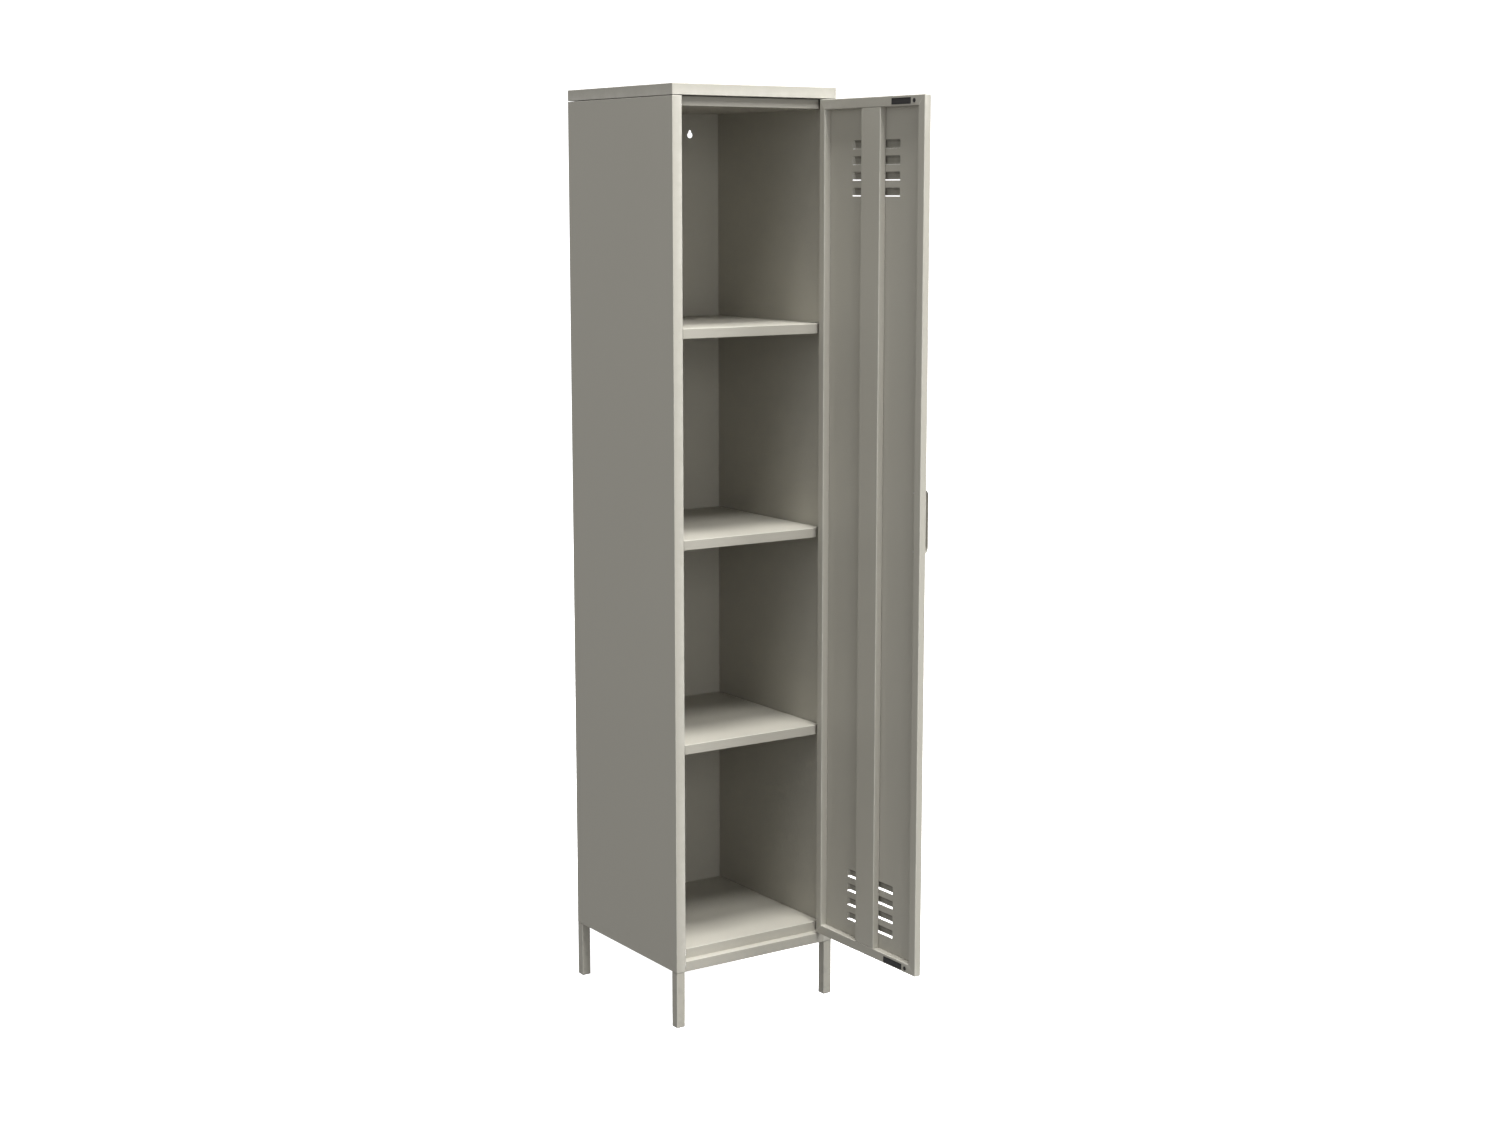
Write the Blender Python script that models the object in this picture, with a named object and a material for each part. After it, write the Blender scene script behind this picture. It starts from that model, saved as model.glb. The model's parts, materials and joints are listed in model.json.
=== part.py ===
"""School locker: a tall, narrow sheet-steel cabinet on four square legs, with one hinged door.

The cabinet is modelled in its own frame: X to the right, Y to the back with the front face of the posts
at Y = 0, Z up from the floor. Everything hangs from the empty "cabinet_frame", which moves that frame so
that the origin lies on the floor below the middle of the locker with its door standing open at 90 degrees.
The door's pieces are drawn where they lie with the door shut, and hang from the empty "door_pivot" on the
hinge axis, which turns them to the open position.
"""

import math

import bmesh
import bpy
from mathutils import Matrix, Vector

# ---- driving dimensions, in metres ----
WIDTH = 0.378
DEPTH = 0.398
HEIGHT = 1.850
SHEET = 0.0007
GAP = 0.0003
BEND = 0.0010
DOOR_BEND = 0.0015
BEND_STEPS = 2

LEG_LENGTH = 0.1139
LEG_SIDE = 0.0188
LEG_WALL = 0.0015
LEG_PLATE = 0.0030
LEG_INSET = 0.0002
LEG_JOINT = 0.0006
FOOT_SOLE = 0.0012
FOOT_PLUG = 0.0140
BOLT_RADIUS = 0.0030
BOLT_HOLE = 0.0034
BOLT_HEAD_RADIUS = 0.0058
BOLT_HEAD_HEIGHT = 0.0040
BOLT_LENGTH = 0.0120

POST_WIDTH = 0.021
REBATE = 0.0145
REBATE_HEM = 0.010
HEM_TRIM = 0.006
CAP_LIP = 0.0216
CAP_JOINT = 0.0012
CAP_RETURN = 0.012

HALF = WIDTH / 2
POST_INNER = HALF - POST_WIDTH
LINER_INNER = HALF - 0.0190
LIP_FRONT = 0.0160
LIP_HALF = 0.1576
SHELF_HALF = LINER_INNER - 0.0006
BACK_FACE = 0.3948
SHELF_BACK = BACK_FACE - 0.0006

RAIL_TOP = 0.1352
FLOOR_TOP = 0.1554
CEILING_BOTTOM = 1.8090
CEILING_TOP = 1.8268
PANEL_TOP = HEIGHT - CAP_LIP - CAP_JOINT
LINER_TOP = PANEL_TOP - SHEET - GAP
LINER_FRONT_FLANGE = 0.012
LINER_REAR_FLANGE = 0.018
SHELF_TOPS = {"lower": 0.5725, "middle": 0.9800, "upper": 1.3899}
SHELF_LIP = 0.0190
SIDE_LIP = 0.0080
NOTCH_BACK = 0.0200
CORNER_RELIEF = 0.010
RAIL_LEDGE = 0.030
RAIL_FOOT = 0.026
CLIP_SHEET = 0.0012
CLIP_LENGTH = 0.020
CLIP_PLACES = {"front": 0.060, "rear": 0.350}

# ---- door: shut position ----
DOOR_THICK = 0.0146
DOOR_HINGE_EDGE = 0.1658
DOOR_WIDTH = 0.3316
DOOR_BOTTOM = 0.1381
DOOR_TOP = 1.8259
FLANGE = 0.0195
HINGE_FLANGE = 0.0170
RETURN_SLANT = 0.0015
STIFFENER_WIDTH = 0.060
STIFFENER_FOOT = 0.012
DOOR_OPEN = math.radians(90)
PIVOT_X = 0.1651
PIVOT_Y = -0.0014

LOUVRE_WIDTH = 0.151
LOUVRE_HEIGHT = 0.0172
LOUVRE_SLIT = 0.0020
LOUVRE_OUT = 0.0055
LOUVRE_SHOULDER = 0.0022
LOUVRE_TAPER = 0.0020
LOUVRE_PITCH = 0.0300
LOUVRE_COUNT = 4
LOUVRE_STARTS = (0.1885, 1.6400)

HINGE_LENGTH = 0.060
HINGE_CENTRES = {"bottom": 0.300, "middle": 0.982, "top": 1.560}
HINGE_PLATE = 0.0012
HINGE_PLATE_FRONT = 0.0029
BODY_LEAF_REACH = 0.0140
DOOR_LEAF_REACH = 0.0135
DOOR_LEAF_SIDE = -0.0016
HINGE_NOTCH_CLEAR = 0.0020
KNUCKLE_RADIUS = 0.0023
KNUCKLE_BORE = 0.00128
KNUCKLE_PLAY = 0.0003
PIN_RADIUS = 0.0012
PIN_HEAD_RADIUS = 0.0019

HANDLE_LENGTH = 0.1306
HANDLE_WIDTH = 0.018
HANDLE_OUT = 0.0240
HANDLE_THICK = 0.0012
HANDLE_BEND = 0.016
HANDLE_FOOT_BEND = 0.0018
HANDLE_FOOT = 0.016
HANDLE_HEIGHT = 1.0285
HANDLE_INSET = 0.0325
SCREW_RADIUS = 0.0020
SCREW_HOLE = 0.0024
SCREW_HEAD_RADIUS = 0.0040

MAGNET_LENGTH = 0.0575
MAGNET_WIDTH = 0.0112
MAGNET_FROM_EDGE = 0.0715
BUFFER_FROM_EDGE = 0.0320
BUFFER_RADIUS = 0.0042
BUFFER_STEM = 0.0016
BUFFER_HOLE = 0.0020
MAGNET_PROUD = 0.0009
MAGNET_DEEP = 0.0060
MAGNET_EASE = 0.0006
CATCH_CLEAR = 0.0003
CATCH_FROM_TOP = 0.0104
CATCH_FROM_BOTTOM = 0.0088

SLOT_X = 0.0993
SLOT_Z = 1.7650
SLOT_EYE_RADIUS = 0.0062
SLOT_NECK_RADIUS = 0.0030
SLOT_RISE = 0.0073

# The locker's box with the door open reaches from the free edge of the door to the back of the cabinet.
DOOR_REACH = -(PIVOT_Y + DOOR_HINGE_EDGE - DOOR_WIDTH - PIVOT_X)
FRONT_Y = (DOOR_REACH - DEPTH) / 2


# ---- materials ----
def make_material(name, colour, roughness, metallic=0.0):
    material = bpy.data.materials.new(name)
    material.use_nodes = True
    shader = material.node_tree.nodes["Principled BSDF"]
    shader.inputs["Base Color"].default_value = (*colour, 1.0)
    shader.inputs["Roughness"].default_value = roughness
    shader.inputs["Metallic"].default_value = metallic
    material.diffuse_color = (*colour, 1.0)
    return material


def paint(piece, colour, roughness, metallic=0.0):
    piece.data.materials.clear()
    piece.data.materials.append(make_material(piece.name, colour, roughness, metallic))


POWDER_COAT = ((0.34, 0.33, 0.29), 0.5)
BLACK_RUBBER = ((0.015, 0.015, 0.015), 0.7)
MAGNET_BLACK = ((0.03, 0.03, 0.032), 0.45)
ZINC = ((0.60, 0.60, 0.58), 0.35, 1.0)
FOOT_PLASTIC = ((0.16, 0.155, 0.14), 0.6)


# ---- placing ----
def add_object(name, bm, parent, origin=(0, 0, 0)):
    """Makes bm an object under parent, whose own place in cabinet coordinates is origin."""
    bmesh.ops.translate(bm, verts=bm.verts, vec=-Vector(origin))
    mesh = bpy.data.meshes.new(name)
    bm.to_mesh(mesh)
    bm.free()
    piece = bpy.data.objects.new(name, mesh)
    bpy.context.scene.collection.objects.link(piece)
    piece.parent = parent
    return piece


def smooth(piece, degrees=35):
    piece.data.shade_smooth()
    piece.data.set_sharp_from_angle(angle=math.radians(degrees))


def cut(piece, cutter, operation="DIFFERENCE"):
    """Takes the cutter's shape out of the piece, or joins it on, and hides the cutter."""
    modifier = piece.modifiers.new("cut", "BOOLEAN")
    modifier.operation = operation
    modifier.solver = "EXACT"
    modifier.object = cutter
    cutter.hide_render = True
    cutter.display_type = "WIRE"


# ---- solid shapes ----
def box_into(bm, low, high):
    xs, ys, zs = zip(low, high)
    v = [bm.verts.new((x, y, z)) for z in zs for y in ys for x in xs]
    for quad in ((0, 2, 3, 1), (4, 5, 7, 6), (0, 1, 5, 4), (2, 6, 7, 3), (0, 4, 6, 2), (1, 3, 7, 5)):
        bm.faces.new([v[i] for i in quad])


def polygon_reach(angle, sides):
    """How far a regular polygon with corners at radius 1 reaches in a direction."""
    if not sides:
        return 1.0
    part = math.tau / sides
    return math.cos(part / 2) / math.cos(angle % part - part / 2)


def disc_ring(bm, centre, axis, radius, along, steps, sides=0):
    """A ring of vertices round the axis ("x", "y" or "z") at a place along it: round, or flat-sided."""
    ring = []
    for i in range(steps):
        angle = math.tau * i / steps
        reach = radius * polygon_reach(angle, sides)
        a, b = reach * math.cos(angle), reach * math.sin(angle)
        offset = {"x": (along, a, b), "y": (b, along, a), "z": (a, b, along)}[axis]
        ring.append(bm.verts.new(Vector(centre) + Vector(offset)))
    return ring


def bridge(bm, ring_a, ring_b):
    count = len(ring_a)
    for i in range(count):
        j = (i + 1) % count
        bm.faces.new((ring_a[i], ring_a[j], ring_b[j], ring_b[i]))


def turned_into(bm, centre, axis, profile, steps):
    """A turned solid: profile lists (radius, place along the axis) from one flat end to the other.

    A third number in a profile's entry gives that ring flat sides, as on a bolt's head.
    """
    rings = [disc_ring(bm, centre, axis, radius, along, steps, *sides) for radius, along, *sides in profile]
    bm.faces.new(list(reversed(rings[0])))
    for a, b in zip(rings, rings[1:]):
        bridge(bm, a, b)
    bm.faces.new(rings[-1])


def bend_points(path, radius, steps):
    """The 2D path with its corners as arcs: a list of (point, unit normal on the path's left)."""
    points = [Vector(p) for p in path]
    placed = []

    def left(direction):
        return Vector((-direction.y, direction.x))

    first = (points[1] - points[0]).normalized()
    placed.append((points[0], left(first)))
    for before, corner, after in zip(points, points[1:], points[2:]):
        d_in = (corner - before).normalized()
        d_out = (after - corner).normalized()
        turn = math.atan2(d_in.cross(d_out), d_in.dot(d_out))
        reach = radius * math.tan(abs(turn) / 2)
        start = corner - d_in * reach
        side = 1 if turn > 0 else -1
        centre = start + left(d_in) * radius * side
        for i in range(steps + 1):
            angle = turn * i / steps
            normal = Matrix.Rotation(angle, 2) @ left(d_in)
            placed.append((centre - normal * radius * side, normal))
    last = (points[-1] - points[-2]).normalized()
    placed.append((points[-1], left(last)))
    return placed


def strip_into(bm, path, thickness, radius, span, plane, steps=BEND_STEPS):
    """A bent strip. The 2D path is its middle, in plane "xy", "yz", "xz" or "zy", drawn across the span."""
    swept_into(bm, bend_points(path, radius, steps), thickness, span, plane)


def swept_into(bm, placed, thickness, span, plane):
    """The strip along points placed by bend_points, thickness / 2 to each side of them."""
    def place(point, across):
        a, b = point
        return {
            "xy": (a, b, across), "yz": (across, a, b), "xz": (a, across, b), "zy": (across, b, a),
        }[plane]

    rings = []
    for point, normal in placed:
        offset = normal * thickness / 2
        corners = (
            (point + offset, span[0]), (point - offset, span[0]),
            (point - offset, span[1]), (point + offset, span[1]),
        )
        rings.append([bm.verts.new(place(p, across)) for p, across in corners])
    bm.faces.new(rings[0])
    for a, b in zip(rings, rings[1:]):
        bridge(bm, a, b)
    bm.faces.new(list(reversed(rings[-1])))
    bmesh.ops.recalc_face_normals(bm, faces=bm.faces)


def strip(name, path, span, plane, parent, thickness=SHEET, radius=BEND - SHEET / 2, steps=BEND_STEPS):
    bm = bmesh.new()
    strip_into(bm, path, thickness, radius, span, plane, steps)
    piece = add_object(name, bm, parent)
    smooth(piece)
    return piece


# ---- folded sheets: a surface with marked folds, which is then bevelled and given its thickness ----
def new_sheet():
    """An empty surface that can carry fold marks."""
    bm = bmesh.new()
    bm.edges.layers.float.new("bevel_weight_edge")
    return bm


def mark_fold(bm, edges):
    layer = bm.edges.layers.float["bevel_weight_edge"]
    for edge in edges:
        edge[layer] = 1.0


def fold_flap(bm, edge_verts, offset, trim=0.0):
    """Folds a flap out of a row of vertices, moved by offset. The flap's ends are cut back by trim."""
    along = (edge_verts[-1].co - edge_verts[0].co).normalized()
    far = [bm.verts.new(v.co + Vector(offset)) for v in edge_verts]
    far[0].co += along * trim
    far[-1].co -= along * trim
    folds = []
    for i in range(len(edge_verts) - 1):
        face = bm.faces.new((edge_verts[i], far[i], far[i + 1], edge_verts[i + 1]))
        folds.append(next(e for e in face.edges if set(e.verts) == {edge_verts[i], edge_verts[i + 1]}))
    mark_fold(bm, folds)
    return far


def fold_band(bm, ring, targets):
    """Folds a closed band out of a ring of vertices to the target places, with folds at its corners."""
    far = [bm.verts.new(p) for p in targets]
    count = len(ring)
    folds = []
    for i in range(count):
        j = (i + 1) % count
        face = bm.faces.new((ring[i], ring[j], far[j], far[i]))
        folds.append(next(e for e in face.edges if set(e.verts) == {ring[i], ring[j]}))
    for i in range(count):
        back = ring[i].co - ring[i - 1].co
        ahead = ring[(i + 1) % count].co - ring[i].co
        if back.angle(ahead) > 0.3:
            folds.append(bm.edges.get((ring[i], far[i])))
    mark_fold(bm, folds)
    return far


def sheet_object(name, bm, parent, outward, origin=(0, 0, 0), bend=BEND):
    """Gives a folded surface its thickness on the inner side. outward is the first face's outward side."""
    bmesh.ops.recalc_face_normals(bm, faces=bm.faces)
    bm.faces.ensure_lookup_table()
    if bm.faces[0].normal.dot(Vector(outward)) < 0:
        bmesh.ops.reverse_faces(bm, faces=bm.faces)
    piece = add_object(name, bm, parent, origin)
    bevel = piece.modifiers.new("bends", "BEVEL")
    bevel.limit_method = "WEIGHT"
    bevel.width = bend
    bevel.segments = BEND_STEPS
    solid = piece.modifiers.new("thickness", "SOLIDIFY")
    solid.thickness = SHEET
    solid.offset = -1.0
    solid.use_even_offset = True
    smooth(piece)
    return piece


def rectangle(x0, x1, y0, y1, z):
    return [Vector(p) for p in ((x0, y0, z), (x1, y0, z), (x1, y1, z), (x0, y1, z))]


# ---- cabinet pieces ----
def side_panel(name, side, frame):
    """A shallow pan: outer skin, four walls, and on the front wall a rebate return with a stiffening hem."""
    relief = 0.0026
    return_bottom, return_top = LEG_LENGTH + relief, PANEL_TOP - relief
    outline = [
        (0, LEG_LENGTH), (DEPTH, LEG_LENGTH), (DEPTH, PANEL_TOP),
        (0, PANEL_TOP), (0, return_top), (0, return_bottom),
    ]
    bm = new_sheet()
    skin = [bm.verts.new((side * HALF, y, z)) for y, z in outline]
    bm.faces.new(skin)
    rim = fold_band(bm, skin, [Vector((side * POST_INNER, y, z)) for y, z in outline])
    rebate = fold_flap(bm, rim[4:], (0, REBATE, 0))
    fold_flap(bm, rebate, (side * REBATE_HEM, 0, 0), trim=HEM_TRIM)
    piece = sheet_object(name, bm, frame, (side, 0, 0))
    reach = 0.004
    bolt_holes = bmesh.new()
    for y in (LEG_SIDE / 2, DEPTH - LEG_SIDE / 2):
        centre = (side * (HALF - LEG_SIDE / 2), y, LEG_LENGTH)
        turned_into(bolt_holes, centre, "z", [(BOLT_HOLE, -reach), (BOLT_HOLE, reach)], 16)
    cut(piece, add_object(name + "_cutter", bolt_holes, frame))
    return piece


def side_liner(name, side, frame):
    """The inner wall: a flat sheet with a flange folded outwards in front and one folded inwards behind."""
    half = SHEET / 2
    x, front, rear = LINER_INNER + half, LIP_FRONT + half, BACK_FACE + SHEET + GAP + half
    path = [
        (side * (x + LINER_FRONT_FLANGE), front), (side * x, front),
        (side * x, rear), (side * (x - LINER_REAR_FLANGE), rear),
    ]
    return strip(name, path, (RAIL_TOP + GAP, LINER_TOP), "xy", frame)


def hanging_slot_into(bm, x, y):
    """A hanging slot's cutter, through the sheet at y: a round eye with a narrower neck above it."""
    reach, steps = 0.004, 10
    meet = math.acos(SLOT_NECK_RADIUS / SLOT_EYE_RADIUS)
    outline = []

    def arc(radius, z, first, sweep, count):
        for i in range(count + 1):
            angle = first + sweep * i / count
            outline.append((x + radius * math.cos(angle), z + radius * math.sin(angle)))

    arc(SLOT_EYE_RADIUS, SLOT_Z, math.pi - meet, math.pi + 2 * meet, 2 * steps)
    arc(SLOT_NECK_RADIUS, SLOT_Z + SLOT_RISE, 0, math.pi, steps)
    near = [bm.verts.new((a, y - reach, b)) for a, b in outline]
    far = [bm.verts.new((a, y + reach, b)) for a, b in outline]
    bm.faces.new(list(reversed(near)))
    bm.faces.new(far)
    bridge(bm, near, far)


def back_panel(frame):
    bm = bmesh.new()
    half = LINER_INNER - 0.0045
    box_into(bm, (-half, BACK_FACE, RAIL_TOP + GAP), (half, BACK_FACE + SHEET, LINER_TOP))
    piece = add_object("back_panel", bm, frame)
    holes = bmesh.new()
    for x in (-SLOT_X, SLOT_X):
        hanging_slot_into(holes, x, BACK_FACE)
    bmesh.ops.recalc_face_normals(holes, faces=holes.faces)
    cut(piece, add_object("back_panel_cutter", holes, frame))
    return piece


def top_cap(frame):
    """The lid: a flat top with a lip all round, folded back inwards at its lower edge."""
    bm = new_sheet()
    low = HEIGHT - CAP_LIP
    top = [bm.verts.new(p) for p in rectangle(-HALF, HALF, 0, DEPTH, HEIGHT)]
    bm.faces.new(top)
    lip = fold_band(bm, top, rectangle(-HALF, HALF, 0, DEPTH, low))
    inset = CAP_RETURN
    fold_band(bm, lip, rectangle(-HALF + inset, HALF - inset, inset, DEPTH - inset, low))
    return sheet_object("top_cap", bm, frame, (0, 0, 1))


def tray(name, level, lip, frame):
    """A shelf-like pan. level is its flat face; lip is how far its lips reach from it, down if negative."""
    bm = new_sheet()
    front, back = LIP_FRONT, SHELF_BACK
    inner, outer = LIP_HALF, SHELF_HALF
    lip_front, lip_back = NOTCH_BACK + CORNER_RELIEF, back - CORNER_RELIEF
    rear_half = outer - 0.0012
    outline = [
        (-inner, front), (inner, front), (inner, NOTCH_BACK), (outer, NOTCH_BACK),
        (outer, lip_front), (outer, lip_back), (outer, back), (rear_half, back),
        (-rear_half, back), (-outer, back), (-outer, lip_back), (-outer, lip_front),
        (-outer, NOTCH_BACK), (-inner, NOTCH_BACK),
    ]
    v = [bm.verts.new((x, y, level)) for x, y in outline]
    bm.faces.new(v)
    side_lip = math.copysign(SIDE_LIP, lip)
    fold_flap(bm, [v[0], v[1]], (0, 0, lip))
    fold_flap(bm, [v[4], v[5]], (0, 0, side_lip))
    fold_flap(bm, [v[7], v[8]], (0, 0, side_lip))
    fold_flap(bm, [v[10], v[11]], (0, 0, side_lip))
    return sheet_object(name, bm, frame, (0, 0, -1 if lip > 0 else 1))


def base_rail(name, y, inward, frame):
    """The rail under the floor: a channel open towards the inside. inward is +1 in front and -1 behind."""
    half = SHEET / 2
    face, low, high = y + inward * half, LEG_LENGTH + half, RAIL_TOP - half
    path = [(face + inward * RAIL_FOOT, low), (face, low), (face, high), (face + inward * RAIL_LEDGE, high)]
    return strip(name, path, (GAP - POST_INNER, POST_INNER - GAP), "yz", frame)


def shelf_clip(name, side, y, shelf_top, frame):
    """An angle on the side wall that carries the shelf's side lip."""
    half, ledge_width, drop = CLIP_SHEET / 2, 0.010, 0.0184
    wall = side * (LINER_INNER - GAP - half)
    ledge = shelf_top - SIDE_LIP - GAP - half
    path = [(side * (LINER_INNER - ledge_width), ledge), (wall, ledge), (wall, shelf_top - drop)]
    span = (y - CLIP_LENGTH / 2, y + CLIP_LENGTH / 2)
    return strip(name, path, span, "xz", frame, thickness=CLIP_SHEET, radius=CLIP_SHEET)


def leg(name, x, y, frame):
    """A square tube, closed above by a bored plate and open below for its foot."""
    top, foot = LEG_LENGTH - LEG_JOINT, FOOT_SOLE + GAP
    outer, inner = LEG_SIDE / 2, LEG_SIDE / 2 - LEG_WALL
    corner, hole_radius, reach = 0.0012, 0.0033, 0.006
    bm = new_sheet()

    def square(half, z):
        return [bm.verts.new(p) for p in rectangle(x - half, x + half, y - half, y + half, z)]

    rings = [square(outer, foot), square(outer, top), square(inner, top - LEG_PLATE), square(inner, foot)]
    bm.faces.new(rings[1])
    bm.faces.new(rings[2])
    bridge(bm, rings[0], rings[1])
    bridge(bm, rings[2], rings[3])
    bridge(bm, rings[3], rings[0])
    bmesh.ops.recalc_face_normals(bm, faces=bm.faces)
    mark_fold(bm, [bm.edges.get(pair) for pair in zip(rings[0], rings[1])])
    piece = add_object(name, bm, frame)
    bevel = piece.modifiers.new("corners", "BEVEL")
    bevel.limit_method = "WEIGHT"
    bevel.width = corner
    bevel.segments = BEND_STEPS
    hole = bmesh.new()
    turned_into(hole, (x, y, top), "z", [(hole_radius, -reach), (hole_radius, reach)], 16)
    cut(piece, add_object(name + "_cutter", hole, frame))
    smooth(piece)
    return piece


def foot_cap(name, x, y, frame):
    """A plastic glide with a chamfered sole, and a plug that sits inside the leg."""
    plug, sole, ease = LEG_SIDE / 2 - LEG_WALL - GAP, LEG_SIDE / 2 - LEG_INSET, 0.0006
    levels = [(sole - ease, 0.0), (sole, ease), (sole, FOOT_SOLE), (plug, FOOT_SOLE), (plug, FOOT_PLUG)]
    bm = bmesh.new()
    rings = [[bm.verts.new(p) for p in rectangle(x - h, x + h, y - h, y + h, z)] for h, z in levels]
    bm.faces.new(list(reversed(rings[0])))
    for a, b in zip(rings, rings[1:]):
        bridge(bm, a, b)
    bm.faces.new(rings[-1])
    return add_object(name, bm, frame)


def leg_bolt(name, x, y, frame):
    """A hexagon bolt from inside the base, through the cabinet's bottom flange, into the leg's plate."""
    seat, crown, hexagon = LEG_LENGTH + SHEET + GAP, 0.0006, 6
    top = seat + BOLT_HEAD_HEIGHT
    profile = [
        (BOLT_RADIUS, seat - BOLT_LENGTH), (BOLT_RADIUS, seat), (BOLT_HEAD_RADIUS, seat, hexagon),
        (BOLT_HEAD_RADIUS, top - crown, hexagon), (BOLT_HEAD_RADIUS - 2 * crown, top),
    ]
    bm = bmesh.new()
    turned_into(bm, (x, y, 0), "z", profile, 12)
    bmesh.ops.recalc_face_normals(bm, faces=bm.faces)
    piece = add_object(name, bm, frame)
    smooth(piece)
    return piece


# ---- door pieces, drawn shut ----
def louvre_levels():
    """The heights at which the door's skin is divided: foot, slit and head of each louvre."""
    for start in LOUVRE_STARTS:
        for i in range(LOUVRE_COUNT):
            foot = start + i * LOUVRE_PITCH
            yield foot, foot + LOUVRE_SLIT, foot + LOUVRE_HEIGHT


def door_panel(door, origin):
    """One folded sheet: skin with pressed louvres, four edges, a flange all round and its return."""
    bm = new_sheet()
    left, right = DOOR_HINGE_EDGE - DOOR_WIDTH, DOOR_HINGE_EDGE
    centre = (left + right) / 2
    columns = [left, centre - LOUVRE_WIDTH / 2, centre + LOUVRE_WIDTH / 2, right]
    louvres = list(louvre_levels())
    rows = sorted({DOOR_BOTTOM, DOOR_TOP, *(z for trio in louvres for z in trio)})
    grid = [[bm.verts.new((x, 0, z)) for x in columns] for z in rows]
    open_rows = {rows.index(low) for low, _, _ in louvres} | {rows.index(slit) for _, slit, _ in louvres}
    for r in range(len(rows) - 1):
        for c in range(len(columns) - 1):
            if c == 1 and r in open_rows:
                continue
            bm.faces.new((grid[r][c], grid[r][c + 1], grid[r + 1][c + 1], grid[r + 1][c]))
    for _, slit, head in louvres:
        add_hood(bm, grid[rows.index(slit)], grid[rows.index(head)])
    edge = grid[0] + [row[-1] for row in grid[1:-1]] + grid[-1][::-1] + [row[0] for row in grid[-2:0:-1]]
    back = fold_band(bm, edge, [v.co + Vector((0, DOOR_THICK, 0)) for v in edge])

    def inset(place, slant):
        x = min(max(place.x, left + FLANGE + slant), right - HINGE_FLANGE - slant)
        z = min(max(place.z, DOOR_BOTTOM + FLANGE), DOOR_TOP - FLANGE)
        return x, z

    return_clear = 0.0005
    flange_places, return_places = [], []
    for v in back:
        x, z = inset(v.co, 0)
        flange_places.append((x, DOOR_THICK, z))
        x, z = inset(v.co, RETURN_SLANT)
        return_places.append((x, SHEET + return_clear, z))
    flange = fold_band(bm, back, flange_places)
    fold_band(bm, flange, return_places)
    piece = sheet_object("door_panel", bm, door, (0, -1, 0), origin, DOOR_BEND)
    cut(piece, door_cutter(door, origin))
    return piece


def add_hood(bm, slit_row, head_row):
    """A louvre's hood: it leaves the skin at its head and ends, and stands open along its lower edge."""
    taper = LOUVRE_TAPER
    top_left, top_right = head_row[1], head_row[2]
    end_left, end_right = slit_row[1], slit_row[2]
    shoulder = [
        bm.verts.new(top_left.co + Vector((taper, -LOUVRE_SHOULDER, -taper))),
        bm.verts.new(top_right.co + Vector((-taper, -LOUVRE_SHOULDER, -taper))),
    ]
    mouth = [
        bm.verts.new(end_left.co + Vector((taper, -LOUVRE_OUT, 0))),
        bm.verts.new(end_right.co + Vector((-taper, -LOUVRE_OUT, 0))),
    ]
    bm.faces.new((top_left, top_right, shoulder[1], shoulder[0]))
    bm.faces.new((shoulder[0], shoulder[1], mouth[1], mouth[0]))
    bm.faces.new((top_left, shoulder[0], mouth[0], end_left))
    bm.faces.new((top_right, end_right, mouth[1], shoulder[1]))


def catch_levels():
    return {"bottom": DOOR_BOTTOM + CATCH_FROM_BOTTOM, "top": DOOR_TOP - CATCH_FROM_TOP}


def magnet_centre_x():
    return DOOR_HINGE_EDGE - DOOR_WIDTH + MAGNET_FROM_EDGE


def buffer_centre_x():
    return DOOR_HINGE_EDGE - DOOR_WIDTH + BUFFER_FROM_EDGE


def handle_centre_x():
    return DOOR_HINGE_EDGE - DOOR_WIDTH + HANDLE_INSET


def handle_screw_heights():
    reach = HANDLE_LENGTH / 2 - HANDLE_THICK - HANDLE_FOOT / 2
    return {"lower": HANDLE_HEIGHT - reach, "upper": HANDLE_HEIGHT + reach}


def door_cutter(door, origin):
    """What is cut from the door's sheet: hinge notches, catch windows, and buffer and screw holes."""
    bm = bmesh.new()
    reach, steps = 0.003, 16
    notch_side, notch_back = 0.0029, 0.0014
    half = HINGE_LENGTH / 2 + HINGE_NOTCH_CLEAR
    for z in HINGE_CENTRES.values():
        low = (PIVOT_X - notch_side, -reach, z - half)
        box_into(bm, low, (DOOR_HINGE_EDGE + reach, notch_back, z + half))
    x = magnet_centre_x()
    half_x, half_z = MAGNET_LENGTH / 2 + CATCH_CLEAR, MAGNET_WIDTH / 2 + CATCH_CLEAR
    for z in catch_levels().values():
        low = (x - half_x, DOOR_THICK - reach, z - half_z)
        box_into(bm, low, (x + half_x, DOOR_THICK + reach, z + half_z))
        middle = (buffer_centre_x(), DOOR_THICK, z)
        turned_into(bm, middle, "y", [(BUFFER_HOLE, -reach), (BUFFER_HOLE, reach)], steps)
    for z in handle_screw_heights().values():
        turned_into(bm, (handle_centre_x(), 0, z), "y", [(SCREW_HOLE, -reach), (SCREW_HOLE, reach)], steps)
    bmesh.ops.recalc_face_normals(bm, faces=bm.faces)
    return add_object("door_cutter", bm, door, origin)


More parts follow.
